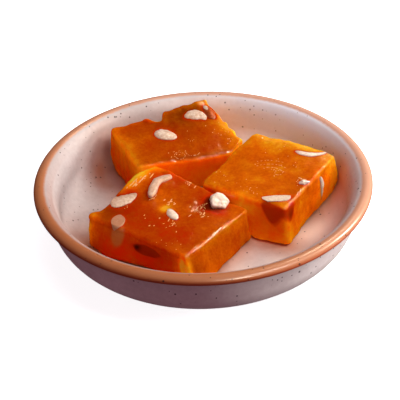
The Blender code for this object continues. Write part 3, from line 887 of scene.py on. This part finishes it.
# %% Make one almond piece
GRAIN = ((3.4, 20, 0.26), (1.5, 0, 0.14), (0.6, 9, 0.03))  # width, seed and depth of its unevenness
FILM_DEPTH, FILM_MOST = 0.25, 0.8


def almond_shape(ball, numbers, half):
    """A ball's points moved on to the almond piece, in millimetres, about its own middle."""
    form, seed = numbers["form"], 5.0 + numbers["sunk"]
    shape = broken(ball, form["faces"], seed + 30) if "faces" in form else kernel(ball, form) * half
    shape *= chipped(ball, form.get("facets", 0))[:, None]
    shape = bent(shape, half[0], form.get("bend", 0.0), form.get("elbow", 0.0))
    grain = sum(waves(shape, width, seed + step) * depth for width, step, depth in GRAIN)
    outward = shape / np.maximum(np.linalg.norm(shape, axis=1), TINY)[:, None]
    return shape + outward * grain[:, None]


def make_almond(numbers, material, name=None):
    """One almond piece in its block, with how much skin, film and freshness each vertex has."""
    block, form = numbers["block"], numbers["form"]
    select_only()
    bpy.ops.mesh.primitive_uv_sphere_add(segments=40, ring_count=28, radius=1)
    piece = bpy.context.object
    piece.name = name or numbers["node"] + "_kernel"
    if not form.get("cut"):
        piece.rotation_euler = (0, math.tau / 4, 0)
        bpy.ops.object.transform_apply(rotation=True)
    ball = places_of(piece)
    half = np.array(numbers["size"]) / 2 * (1, 1, 2 if form.get("cut") else 1)
    rotation = turned(block)
    for angle, axis in (("turn", "Z"), ("tip", "Y"), ("roll", "X")):
        rotation = rotation @ Matrix.Rotation(math.radians(numbers.get(angle, 0)), 3, axis)
    if "faces" in form:
        rotation = camera_axes
    middle = (*numbers["at"], block["size"][W] - numbers["sunk"])
    placed = almond_shape(ball, numbers, half) @ np.array(rotation).T + in_dish(block, np.array([middle]))[0]
    move_vertices(piece, placed)
    cut_face = ball[:, 2] > -0.02 if form.get("cut") else np.zeros(len(ball), bool)
    patch_middle, patch_reach = form.get("bare_patch", ((0, 0, 0), 0.0))
    bare = cut_face | (np.linalg.norm(ball - patch_middle, axis=1) < patch_reach)
    to_jelly = [block_trees[block["node"]].find_nearest(Vector(p))[3] for p in placed]
    film = FILM_MOST * np.exp(-np.array(to_jelly) / FILM_DEPTH)
    keep_attribute(piece, "skin", ~bare)
    keep_attribute(piece, "veil", np.maximum(film, numbers.get("veiled", 0.0)))
    keep_attribute(piece, "fresh", numbers.get("fresh", 0.0))
    return finish_piece(piece, material, stands_for=numbers.get("node"))


print("an almond's unevenness is up to", sum(depth for _, _, depth in GRAIN), "mm deep")

# %% [markdown]
# ### Cut almond
#
# A blanched almond is a dense, oily white seed. Its cut face is matt and creamy, with a faint grain of
# lighter and darker patches a millimetre across, and light goes a little way into it. An old face has
# soaked up syrup and is darker than a fresh break, and a film of jelly over it turns it orange brown.

# %% Cut almond
cut_almond, add, shader, millimetres, fresh, veil = new_material("blanched_cut_almond", "fresh", "veil")
grain = add("TexNoise", {"Vector": millimetres, "Scale": 0.9, "Detail": 5.0, "Roughness": 0.6})
soaked = add("ValToRGB", {0: grain}, stops=((0.32, "#CBA384"), (0.5, "#DCC0A4"), (0.66, "#ECDAC4")))
broken_face = add("ValToRGB", {0: grain}, stops=((0.3, "#DCC4A6"), (0.5, "#EDDCC6"), (0.7, "#F8EEDE")))
colour = layered(add, soaked, [(fresh, broken_face), (veil, "#A8602E")])
pits = add("TexNoise", {"Vector": millimetres, "Scale": 1.8, "Detail": 3.0})
bump = add("Bump", {"Height": pits, "Strength": 0.5, "Distance": 0.15 * MM})
fill_sockets(shader, {"Base Color": colour, "Roughness": 0.45, "IOR": 1.47, "Normal": bump})
fill_sockets(shader, {"Subsurface Weight": 0.25, "Subsurface Scale": 1.0 * MM})
fill_sockets(shader, {"Subsurface Radius": (1.0, 0.6, 0.35)})
print("material", cut_almond.name)

# %% [markdown]
# ### Almond in its skin
#
# The skin is thin, red-brown and finely mottled, and it is wet here, so it shines. Where the knife went
# through, the cut face is white again, so the skin's share is kept on the mesh as an attribute.

# %% Almond in its skin
skinned_almond, add, shader, millimetres, skin_share = new_material("almond_in_wet_brown_skin", "skin")
mottle = add("TexNoise", {"Vector": millimetres, "Scale": 1.1, "Detail": 4.0})
brown = add("ValToRGB", {0: mottle}, stops=((0.3, "#93380C"), (0.55, "#B4501A"), (0.75, "#C86C30")))
flesh = add("ValToRGB", {0: mottle}, stops=((0.3, "#CDB08E"), (0.6, "#E4CFB4")))
colour = layered(add, flesh, [(skin_share, brown)])
fill_sockets(shader, {"Base Color": colour, "Roughness": 0.32, "IOR": 1.47})
print("material", skinned_almond.name)

# %% Make the almond pieces
almonds = {}
for numbers in ALMOND_PIECES:
    finish, slot = (skinned_almond, SKIN) if numbers["node"] in SKINNED else (cut_almond, ALMOND)
    almonds[numbers["node"]] = make_almond(numbers, finish)

# %% [markdown]
# One more almond, still in its skin, lies wholly inside the front block, close behind its dark front
# side. It is a piece of the picture only, since nothing can touch it.

# %% The sunk almond
sunk_numbers = dict(block=FRONT, at=(4.0, -17.4), sunk=7.6, turn=8, size=(13.0, 4.4, 6.0))
sunk_numbers["form"] = dict(pointed=0.45)
sunk_almond = make_almond(sunk_numbers, skinned_almond, name="sunk_almond")

# %% [markdown]
# ### How the jelly is coloured
#
# Clear orange jelly has no single colour. Where it is thin, at edges and corners, light passes a short
# way through it and comes out golden. Where it is thick, or turned away from the lamp, the light has
# gone a long way, and comes out deep red. And where an almond lies close under the surface, it shows
# through, pale or brown, with a dark red ring where the jelly meets it. The golden and red light is
# painted into the jelly's colour, and so is what shows through: all of it is worked out for each vertex
# from the shape and kept on the mesh as attributes, and the material reads them.
#
# Each side of a block has a tone, which is its place between red and gold, and a lift, which is how
# brightly it is painted. Glows are painted light and shade that move the tone in soft spots, and shades
# are painted light and shade that change the lift. Stains add red brown, ghosts are kernels that show
# close under the surface, and light let through is a painted glow that makes the jelly shine by itself.
# A spot has a middle, a reach along U, V and W, and an amount.

# %% Colours of the front block
FRONT.update(
    tones=dict(top=0.28, left=0.16, right=0.48, front=0.02, far=0.4),
    lifts=dict(top=0.98, left=1.2, right=0.87, front=1.3, far=1.2),
    foot_lift=0.32,
    brown_share=0.82,
    glows=(
        ((-26, -20, 8), (4, 7, 9), 0.8), ((-21, -21, 12), (6, 4, 7), 0.17),
        ((22.5, -21, 9), (5, 1.2, 6.5), 0.46), ((25, -21, 9), (2, 1.5, 5), 0.22),
        ((22.6, -21, 10.5), (1.2, 1, 3.8), 0.8), ((-11, 2, 17), (7, 8, 5), 0.14),
        ((-24, -14, 17), (5, 6, 5), -0.12), ((10, -14, 16), (8, 6, 3), -0.06),
        ((25, 0, 16), (3, 22, 3), 0.16), ((-3.2, 0.4, 16), (2.6, 3.4, 3), 0.8),
        ((9, 13, 17), (6, 5, 3), -0.25), ((-18, -9, 17), (8, 6, 4), -0.2),
        ((6, 8, 17), (12, 10, 4), 0.2), ((4, -12, 16), (13, 7, 3), -0.12),
        ((0, -23.5, 13), (30, 2.2, 3.5), 0.6), ((22, 10, 15), (9, 14, 4), 0.14),
        ((-24, 10, 18), (4, 14, 6), 0.7),
    ),
    shades=(
        ((-20, -14, 16), (9, 9, 5), -0.3), ((-24, 12, 18), (5, 14, 6), 0.85), ((-11, 2, 17), (7, 8, 5), 0.12),
        ((20.5, -21, 8.5), (5, 1, 6), 0.4), ((25.4, -18.5, 6), (1.5, 3, 8), -0.15),
        ((22.6, -21, 10.5), (1.4, 1, 3.8), 0.5), ((25.4, 20, 5), (2, 5, 9), 0.2),
        ((-19, -21, 2), (9, 2, 5), -0.4), ((25, 0, 16), (3, 22, 3), -0.2),
    ),
    stains=(
        ((9.5, 12.5, 16), (3.6, 3, 4), 0.8), ((8, 16.5, 16), (2.8, 3, 4), 1.0),
        ((15, 12.2, 16), (5, 2.6, 4), 0.8), ((-19, -8.5, 16), (2, 4, 3), 0.25),
        ((-0.8, -21.5, 10.4), (1.9, 3, 1.3), 1.2),
    ),
    ghosts=(((-10.4, -21, 12.4), (3.2, 3, 5), 0.8),),
    unringed=(((-1, 0, 16), (5, 5, 5), 0.9),),
)
print("front block:", len(FRONT["glows"]), "glows and", len(FRONT["shades"]), "shades")

# %% Colours of the other two blocks
RIGHT.update(
    tones=dict(top=0.6, left=0.5, right=0.62, front=0.5, far=0.8),
    lifts=dict(top=0.95, left=1.2, right=1.06, front=1.72, far=1.2),
    foot_lift=0.9,
    brown_share=0.62,
    through=dict(front=0.02),
    glows=(
        ((0, 24, 19), (30, 8, 5), 0.5), ((22, -22, 9), (3, 3, 14), 0.12), ((0, -22.8, 15), (7, 1.2, 4), 0.4),
        ((2, -23, 0), (30, 6, 6), -0.1),
    ),
    shades=(((21.3, -12, 8), (5, 9, 10), -0.25),),
    stains=(((21.3, -19, 13), (2.5, 2.8, 5), 0.4),),
    let_through=(
        ((21.3, 11, 9.4), (6, 9, 9), 0.3), ((12, -22.8, 1), (11, 4, 5), 0.35),
        ((0, -22.8, 14), (7, 4, 8), 0.15), ((2, -22.8, -2), (10, 4, 8), 0.2),
    ),
)
BACK.update(
    tones=dict(top=0.4, left=0.38, right=0.7, front=0.5, far=0.5),
    lifts=dict(top=0.95, left=2.0, right=1.2, front=2.3, far=1.2),
    foot_lift=0.4,
    brown_share=0.5,
    through=dict(left=0.12, front=0.22),
    glows=(
        ((25, -2, 17), (6, 15, 9), 0.62), ((-25, -6, 18), (4, 20, 7), 0.3), ((-22, -18, 0), (9, 9, 8), -0.3),
        ((-25, -4, 2), (5, 22, 8), -0.2), ((14, 17, 18), (14, 4, 5), 0.25),
    ),
    shades=(
        ((15, 9, 18), (13, 9, 5), -0.3), ((9, 12, 18), (12, 8, 5), -0.3), ((-25, 14, 14), (4, 8, 8), 0.25),
        ((-25, -8, 14), (4, 12, 6), -0.15), ((0, -17.6, 17.5), (30, 2, 2.2), -0.55),
    ),
    stains=(((22, 4, 18), (3.5, 5, 3), 0.22),),
)
print("brown shows through by", [block["brown_share"] for block in BLOCKS])


# %% Spots and sides
FACES = dict(top=(W, 1), left=(U, -1), right=(U, 1), front=(V, -1), far=(V, 1))


def spots(several, points, power=1):
    """Soft spots added up. A power above 1 makes them flat in the middle, with a clear outline."""
    return sum(
        amount * np.exp(-((((points - middle) / reach) ** 2).sum(1) ** power))
        for middle, reach, amount in several
    )


def over_faces(numbers, outward):
    """One number for each vertex, from a number for each side. A side without one counts as nothing."""
    total, weights = np.zeros(len(outward)), np.full(len(outward), TINY)
    for face, (axis, sign) in FACES.items():
        weight = np.maximum(0.0, sign * outward[:, axis]) ** 2
        total += weight * numbers.get(face, 0.0)
        weights += weight
    return total / weights


print("a spot at its reach is", spots([((0, 0, 0), (2, 2, 2), 1.0)], np.array([[2.0, 0.0, 0.0]])).round(2)[0])

# %% [markdown]
# What lies in the jelly is found by looking into it from the front: a ray goes in at each vertex, bent
# as clear jelly bends light, and the sooner it meets an almond, the more the almond shows. The shares
# are then spread a little between neighbours, as the jelly blurs what lies deep in it.

# %% Look into the jelly
START_BEFORE = 0.8
LOOK, BEND = np.array((0.0, 0.816, -0.578)), 1 / 1.45


def refracted(facing):
    """The way that sight goes on inside the jelly, for surfaces that face these ways."""
    against = -(facing @ LOOK)
    inward = BEND * LOOK + (BEND * against - np.sqrt(1 - BEND**2 * (1 - against**2)))[:, None] * facing
    inward[against < 0.05] = -facing[against < 0.05]
    return inward


def seen_through(points, inward, pieces, reach):
    """How strongly pieces show through the jelly: 1 where they touch the surface, 0 beyond reach."""
    share = np.zeros(len(points))
    if pieces:
        inside = tree_of(pieces)
        for i, (point, direction) in enumerate(zip(points, inward)):
            start, way = Vector(point - direction * START_BEFORE), Vector(direction)
            distance = inside.ray_cast(start, way, reach + START_BEFORE)[3]
            if distance is not None:
                share[i] = min(1.0, 1 - (distance - START_BEFORE) / reach)
    return share


def softened(piece, values, rounds):
    """Values spread a little between neighbouring vertices."""
    ends = np.empty(len(piece.data.edges) * 2, dtype=int)
    piece.data.edges.foreach_get("vertices", ends)
    first, second = ends[0::2], ends[1::2]
    count = len(values)
    neighbours = np.bincount(ends, minlength=count) + 1
    for _ in range(rounds):
        total = values + np.bincount(first, values[second], count)
        values = (total + np.bincount(second, values[first], count)) / neighbours
    return values


print("straight sight turns to", refracted(np.array([[0.0, 0.0, 1.0]])).round(2)[0], "under the top")

# %% Light and lift
EDGE_GLOW, EDGE_GLOW_REACH = 0.16, 1.6
CORNER_GLOW, CORNER_GLOW_REACH = 0.14, 7.0
for block in BLOCKS:
    piece, plain, outward = blocks[block["node"]]
    half = np.array(block["size"]) / 2
    to_faces = np.sort(half - np.abs(plain - (0, 0, half[W])), axis=1)
    # Painted light and shade: each side's tone, golden edges and corners, the glows, and each side's lift.
    light = over_faces(block["tones"], outward)
    light += EDGE_GLOW * np.exp(-to_faces[:, 1] / EDGE_GLOW_REACH)
    light += CORNER_GLOW * np.exp(-(to_faces[:, 1] + to_faces[:, 2]) / CORNER_GLOW_REACH)
    light += spots(block["glows"], plain)
    foot = (1 - plain[:, W] / block["size"][W]) * (1 - np.maximum(0, outward[:, W]))
    lift = over_faces(block["lifts"], outward) * (1 + block["foot_lift"] * foot)
    lift += spots(block["shades"], plain)
    # Painted glow: where light is let through, the jelly shines by itself as an emission.
    through = over_faces(block.get("through", {}), outward) + spots(block.get("let_through", ()), plain)
    keep_attribute(piece, "light", light)
    keep_attribute(piece, "lift", lift)
    keep_attribute(piece, "through", np.maximum(0.0, through))
    print(block["node"], "light from", light.min().round(2), "to", light.max().round(2))

# %% Almonds that show through
PALE_REACH, BROWN_REACH = 6.0, 12.0
DARK_RING, RING_REACH, FAR_OFF = 0.8, 0.6, 99.0
almond_tree = tree_of(list(almonds.values()))


def distance_to(tree, point):
    """How far a point is from the nearest face, or far off where none is within 6 mm."""
    found = tree.find_nearest(Vector(point), 6.0)[3]
    return FAR_OFF if found is None else found


for block in BLOCKS:
    piece, plain, outward = blocks[block["node"]]
    at = places_of(piece) / MM
    here = [numbers for numbers in ALMOND_PIECES if numbers["block"] is block]
    pale = [almonds[n["node"]] for n in here if n["node"] not in SKINNED and "veiled" not in n]
    brown = [almonds[n["node"]] for n in here if n["node"] in SKINNED] + [sunk_almond] * (block is FRONT)
    inward = refracted(outward @ np.array(turned(block)).T)
    up = np.maximum(0, outward[:, W])
    pale_share = softened(piece, seen_through(at, inward, pale, PALE_REACH) * (1 - up**2), 2)
    keep_attribute(piece, "pale", np.maximum(pale_share, spots(block.get("ghosts", ()), plain, power=3)))
    seen_brown = softened(piece, seen_through(at, inward, brown, BROWN_REACH) * (1 - up**2), 9)
    seen_brown = np.clip((seen_brown - 0.12) / 0.38, 0.0, 1.0) * block["brown_share"]
    to_almond = np.array([distance_to(almond_tree, point) for point in at])
    ringed = 1 - spots(block.get("unringed", ()), plain)
    ring = DARK_RING * np.exp(-to_almond / RING_REACH) * up * ringed
    keep_attribute(piece, "brown", seen_brown + ring + spots(block["stains"], plain))
    print(block["node"], "shows", int((seen_brown > 0.1).sum()), "vertices with brown behind them")

# %% [markdown]
# ### Clear orange jelly
#
# Cornflour, sugar and ghee cooked together set to a glassy, rubbery jelly. It is wet, so it is nearly as
# glossy as glass, and shallow dimples break up its reflections. Light goes several millimetres into it, red
# furthest, which is what the subsurface radius says. The colour ramp goes from deep red through orange to
# gold, and the painted light and shade in the attributes move each place along it and set how brightly it
# is painted. Clouds 9 mm wide, upright streaks and a fine grit keep any stretch from being of one tone.

# %% Orange of the jelly
jelly, add, shader, millimetres, light, lift, pale, brown, through = new_material(
    "clear_orange_cornflour_jelly", "light", "lift", "pale", "brown", "through"
)
drawn_up = add("Mapping", {"Vector": millimetres, "Scale": (0.35, 0.35, 0.06)})
depth = light
for vector, scale, detail, roughness, most in (
    (millimetres, 0.11, 4.0, 0.6, 0.13),
    (drawn_up, 1.0, 2.0, 0.5, 0.06),
    (millimetres, 0.9, 3.0, 0.7, 0.08),
):
    pattern = add("TexNoise", {"Vector": vector, "Scale": scale, "Detail": detail, "Roughness": roughness})
    spread = {"From Min": 0.3, "From Max": 0.7, "To Min": -most, "To Max": most}
    amount = add("MapRange", {"Value": pattern} | spread)
    depth = add("Math", {0: depth, 1: amount}, operation="ADD")
red_to_gold = (
    (0.0, "#B62301"), (0.22, "#AC3602"), (0.42, "#B64B03"), (0.64, "#CE6204"), (0.84, "#DA860C"),
    (1.0, "#E8A826"),
)
orange = add("ValToRGB", {0: depth}, stops=red_to_gold)
red = add("SeparateColor", {0: orange})
most_lift = add("Math", {0: 0.96, 1: red}, operation="DIVIDE")
kept_lift = add("Math", {0: lift, 1: most_lift}, operation="MINIMUM")
lifted = add("VectorMath", {0: orange, 3: kept_lift}, operation="SCALE")
print("material", jelly.name)

# %% What shows in the jelly
pale_share = add("MapRange", {"Value": pale, "From Max": 0.6, "To Max": 0.85})
brown_amount = add("MapRange", {"Value": brown, "From Max": 0.6, "To Max": 0.92})
half_brown = add("Math", {0: brown, 1: 0.5}, operation="MULTIPLY")
deep_browns = ((0.28, "#C62C05"), (0.46, "#8A1C02"), (0.8, "#300502"))
brown_colour = add("ValToRGB", {0: half_brown}, stops=deep_browns)
colour = layered(add, lifted, [(pale_share, "#BC6C36"), (brown_amount, brown_colour)])
# Painted glow: the jelly's own orange, shining as an emission where light is let through.
shines = add("VectorMath", {0: orange, 3: through}, operation="SCALE")
dimples = add("TexNoise", {"Vector": millimetres, "Scale": 0.75, "Detail": 4.0, "Roughness": 0.6})
bump = add("Bump", {"Height": dimples, "Strength": 0.5, "Distance": 0.35 * MM})
fill_sockets(shader, {"Base Color": colour, "Roughness": 0.08, "IOR": 1.45, "Normal": bump})
fill_sockets(shader, {"Emission Color": shines, "Emission Strength": 1.0})
fill_sockets(shader, {"Subsurface Weight": 1.0, "Subsurface Scale": 8.0 * MM})
fill_sockets(shader, {"Subsurface Radius": (1.0, 0.35, 0.05)})
for block in BLOCKS:
    finish_piece(blocks[block["node"]][0], jelly, stands_for=block["node"])

# %% [markdown]
# ### Bubbles, with painted glints
#
# Boiling leaves small bubbles in the jelly. Some have come up under its skin and stand as tiny domes, each
# painted pale as its own point of light: a painted glint. Most lie in loose groups, some follow an arc, and
# some run together in a fold of the wet skin or along an edge, painted as one short, shining streak. One
# ball is modelled and flattened, and copied to all those places. The copies are then joined, as one finish
# of one thing.

# %% Numbers of the bubbles
BUBBLE_GROUPS = (  # the block, the (u, v) of the middle, the spread, how many, and how drawn out they are
    (FRONT, (-22.5, 8), (1.2, 4), 12, 3.4), (FRONT, (-15, 17.5), (1.6, 1.6), 4, 2.6),
    (FRONT, (-12, 3), (2, 1.6), 6, 2.4), (FRONT, (-4.6, 5), (2.6, 1.6), 7, 2.8),
    (FRONT, (-4.5, 19), (2.6, 1), 7, 2.2), (FRONT, (-17, -7), (2.4, 2), 6, 2.4),
    (FRONT, (-3, -9.6), (2.6, 1.8), 5, 2.6), (FRONT, (5.9, -6.1), (2.6, 2.6), 9, 2.8),
    (FRONT, (9.8, 7.6), (2.2, 2.2), 7, 2.6), (FRONT, (8.6, 12.5), (2, 1.6), 4, 2.8),
    (FRONT, (14, -18), (4, 1.6), 8, 1.4), (RIGHT, (-11, -15), (6, 3.5), 15, 1.6),
    (RIGHT, (0.8, -17), (3, 2), 10, 1.5), (RIGHT, (-1, 2.5), (4, 2), 8, 2.2),
    (RIGHT, (17.5, -1.5), (1.6, 1.6), 7, 3.0), (RIGHT, (6, 5.6), (4, 3), 7, 1.4),
    (RIGHT, (0, 17), (9, 3), 8, 1.4), (BACK, (-4, -12), (2.2, 1.6), 10, 1.6),
    (BACK, (6.5, -4.8), (1, 1), 3, 1.4), (BACK, (22.5, -8), (1.4, 5), 16, 1.8),
    (BACK, (12, -2), (7, 6), 7, 1.2),
)
BUBBLE_ARCS = (  # the block, the (u, v) of the middle, the radius, both angles in degrees, and how many
    (RIGHT, (5.2, -0.3), 1.7, 0, 360, 9), (BACK, (-3.4, -13.5), 2.3, 0, 360, 13),
    (FRONT, (8.5, 10), 1.7, 0, 300, 9), (RIGHT, (3, -6), 8.0, 70, 130, 7),
    (RIGHT, (3, -6), 10.5, 75, 150, 10), (RIGHT, (2, -6), 13.0, 85, 140, 8),
    (FRONT, (10, 10.5), 3.4, 120, 260, 9), (BACK, (3, -12.5), 3.0, 150, 330, 9),
)
# The streaks are painted glints: short pale runs where a fold or an edge of the wet skin would shine.
GLINT_STREAKS = (  # folds in the wet skin: the block, the (u, v) of both ends and the radius
    (FRONT, (-24.5, 2.5), (-25, 8), 0.26), (FRONT, (-22.5, 6), (-23, 11.5), 0.30),
    (FRONT, (-23, 2.5), (-23.5, 5), 0.26), (FRONT, (-24.5, 0.5), (-25, 1.5), 0.26),
    (FRONT, (-20.5, 11.5), (-21, 14), 0.24), (FRONT, (-11.5, 2.5), (-12, 5.5), 0.22),
    (FRONT, (-5.5, 19.5), (-5, 20.5), 0.24), (FRONT, (-1.5, 18), (-2, 20), 0.26),
    (FRONT, (12, 7), (11.5, 8.5), 0.30), (FRONT, (11, 6), (11, 7), 0.28),
    (FRONT, (12.5, 5), (13, 6), 0.28), (FRONT, (14.5, 6.5), (15, 7), 0.24),
    (FRONT, (7, 7.5), (7, 8.5), 0.26), (FRONT, (7.5, 2.5), (8, 4), 0.20),
    (FRONT, (-4.5, 4.5), (-5, 7), 0.22), (FRONT, (7, -7.5), (6, -4.5), 0.20),
    (FRONT, (3.5, -6), (3, -4), 0.20), (FRONT, (24.2, -2.5), (24.2, 3.5), 0.34),
    (RIGHT, (15, 0), (18.5, 0), 0.36), (RIGHT, (20, -11), (20, -6.5), 0.20),
    (BACK, (-15, -16.5), (-6, -17), 0.30), (BACK, (-2, -17.5), (5, -18), 0.30),
    (BACK, (5, -18), (12, -18.5), 0.24),
)
print(len(BUBBLE_GROUPS), "groups,", len(BUBBLE_ARCS), "arcs and", len(GLINT_STREAKS), "streaks")

# %% Places of the bubbles
LARGE_FROM, STREAK_STEP, EDGE_ROOM = 2.3, 1.8, 0.8
draw = np.random.default_rng(7)
bubble_places = []
for block, middle, spread, count, longest in BUBBLE_GROUPS:
    half = np.array(block["size"]) / 2
    for u, v in draw.normal(middle, spread, (count, 2)):
        radius = (0.11 + 0.13 * draw.random() ** 1.5) * (1.3 if longest > LARGE_FROM else 1.0)
        if abs(u) < half[U] - EDGE_ROOM and abs(v) < half[V] - EDGE_ROOM:
            heading = 58 + 20 * draw.normal()
            bubble_places.append((block, u, v, radius, 1 + (longest - 1) * draw.random(), heading))
for block, (u, v), reach, start, end, count in BUBBLE_ARCS:
    for angle in start + (end - start) * (np.arange(count) + 0.6 * draw.random(count)) / count:
        around = math.radians(angle)
        there = (u + reach * math.cos(around), v + reach * math.sin(around))
        radius, drawn_out = 0.10 + 0.05 * draw.random(), 2.0 + 2.0 * draw.random()
        bubble_places.append((block, *there, radius, drawn_out, angle + 90 + block["heading"]))
for block, start, end, thickness in GLINT_STREAKS:
    run = np.array(end) - np.array(start)
    parts = max(1, round(np.hypot(*run) / STREAK_STEP))
    heading = math.degrees(math.atan2(run[1], run[0])) + block["heading"]
    drawn_out = np.hypot(*run) / parts * 0.5 / thickness
    for i in range(parts):
        there = start + run * (i + 0.5) / parts + draw.normal(0, 0.07, 2)
        radius = thickness * (0.8 + 0.4 * draw.random())
        bubble_places.append((block, *there, radius, drawn_out, heading + 6 * draw.normal()))
print(len(bubble_places), "bubbles")

# %% Copy the bubble to its places
ABOVE, TOO_NEAR = 12.0, 0.5
LONGER, FLATTER, SUNK = 1.3, 0.75, 0.2
select_only()
bpy.ops.mesh.primitive_uv_sphere_add(segments=12, ring_count=8, radius=1)
model_bubble = bpy.context.object
bubbles = []
for block, u, v, radius, drawn_out, heading in bubble_places:
    above = in_dish(block, np.array([[u, v, block["size"][W] + ABOVE]]))[0] * MM
    hit, point, normal, _ = blocks[block["node"]][0].ray_cast(Vector(above), Vector((0, 0, -1)))
    if not hit or almond_tree.find_nearest(point / MM, TOO_NEAR)[3] is not None:
        continue
    bubble = model_bubble.copy()
    bubble.data = model_bubble.data.copy()
    bpy.context.scene.collection.objects.link(bubble)
    bubble.scale = (radius * drawn_out * LONGER * MM, radius * MM, radius * FLATTER * MM)
    along = Vector((math.cos(math.radians(heading)), math.sin(math.radians(heading)), 0))
    along = (along - normal * along.dot(normal)).normalized()
    bubble.rotation_euler = Matrix((along, normal.cross(along), normal)).transposed().to_euler()
    bubble.location = point - normal * radius * SUNK * MM
    bubbles.append(bubble)
select_only(model_bubble)
bpy.ops.object.delete()
select_only(*bubbles)
bpy.ops.object.join()
all_bubbles = bpy.context.object
all_bubbles.name = "bubbles_with_painted_glints"
print(len(bubbles), "bubbles stand clear of the almonds")

# %% [markdown]
# The bubbles are painted paler than the block under them, a clear gold: a painted glint, for the light
# that each small dome catches. They are as glossy as the jelly.

# %% Painted glint on the bubbles
glint_bubble_skin, _, shader, _ = new_material("jelly_bubble_painted_glint")
# Painted glint: a pale gold base colour.
fill_sockets(shader, {"Base Color": linear("#F5B26A"), "Roughness": 0.1, "IOR": 1.5})
finish_piece(all_bubbles, glint_bubble_skin)

# %% [markdown]
# ### Light and shade on the glaze
#
# Light that has passed through the sweets, or been thrown back by them, is orange, and it falls on the
# glaze close by: that orange light is painted into the glaze. Painted shade makes the glaze dark instead
# in the narrow places between the sweets and the wall, on the lip beside the sweets at the front, and on
# the lip's front left. The bowl's inside is painted brightest along the back right wall, and in a few spots
# where the lamp reaches between the sweets. The bowl's vertices keep all of that, worked out from how near
# the sweets are and from a few soft spots.

# %% Where the glaze is
x, y, z = (places_of(bowl) / MM).T
out = np.maximum(TINY, np.hypot(x, y))
normals = np.array([vert.normal[:] for vert in bowl.data.vertices])
turns_out = (normals[:, 0] * x + normals[:, 1] * y) / out
back_right = (x + y) / (1.414 * out)
sweets = tree_of([blocks[block["node"]][0] for block in BLOCKS])
distance = np.array([sweets.find_nearest(vert.co / MM)[3] for vert in bowl.data.vertices])
above_foot, on_wall, on_rim = z > 4, out > 55, (out > 67) & (z > 24)
turned_in = above_foot & (turns_out < 0.3)
print("glaze within 5 mm of the sweets:", int((distance < 5).sum()), "vertices")

# %% Light and shade on the glaze
GLOW_FADE, RIM_FADE, CREVICE_FADE = 7.0, 4.0, 1.5
SHADOW_SPOTS = (
    ((-50, 37.5, 9), (6, 9, 6), 0.92), ((-40, 46, 12), (8, 6, 8), 0.42),
    ((-48.5, 28.5, 6), (6.5, 6.5, 5), 0.4), ((-44, 27, 5.5), (4.5, 4.5, 4), 0.3),
    ((29, -26, 5), (8, 4, 4), 0.3),
)
LIGHT_SPOTS = (
    ((43, -15, 5), (7, 6, 4), 1.0), ((50, -9, 5.5), (7, 7, 4), 0.7), ((32, -34, 5), (7, 4, 4), 0.4),
    ((16, -38, 5), (5, 3, 4), 0.3), ((62, -15, 20), (6, 12, 9), 0.4),
)
at = np.stack([x, y, z], 1)
# Painted light: pools of lamp light, and the orange light from the sweets.
lamplit = np.minimum(1.0, spots(LIGHT_SPOTS, at))
sideways = (x / out) ** 4 * np.clip(1 - (y - 10) / 25, 0.15, 1.0)
warmth = (0.5 + 0.5 * sideways) * np.exp(-distance / GLOW_FADE) * (1 - 0.5 * lamplit)
# Painted light on the inside of the back right wall. The outside wall and the foot get the full painted
# brightness.
lit_outside = 1.9 * np.maximum(0.0, back_right) ** 3 * on_wall
skylit = 0.85 * np.maximum(0.0, back_right) ** 8 * on_wall
# Painted shade on the lip: dark red beside the sweets at the front, and darker on its front left.
rim_shade_by_sweets = 1.4 * np.exp(-distance / RIM_FADE) * np.clip((72.6 - out) / 2, 0.15, 1.0) * (y < 0)
front_left_rim_shade = 0.45 * np.maximum(0.0, -back_right) ** 2
# Painted shade in the narrow places between the sweets and the bowl.
crevice = np.where((x < 10) & (y < 20), 0.8, 0.3) * np.exp(-distance / CREVICE_FADE) * (out < 60) * above_foot
shadow = spots(SHADOW_SPOTS, at) + (rim_shade_by_sweets + front_left_rim_shade) * on_rim + crevice
keep_attribute(bowl, "warmth", warmth * above_foot * (out < OUTER_WALL_RADIUS))
keep_attribute(bowl, "outside", np.where((z < 4) | (turns_out > 0.3), 1.0, lit_outside))
keep_attribute(bowl, "shadowed", np.minimum(1.0, shadow))
keep_attribute(bowl, "skylit", skylit * turned_in)
keep_attribute(bowl, "lamplit", lamplit * turned_in)
print("warmth on the glaze goes up to", warmth.max().round(2))
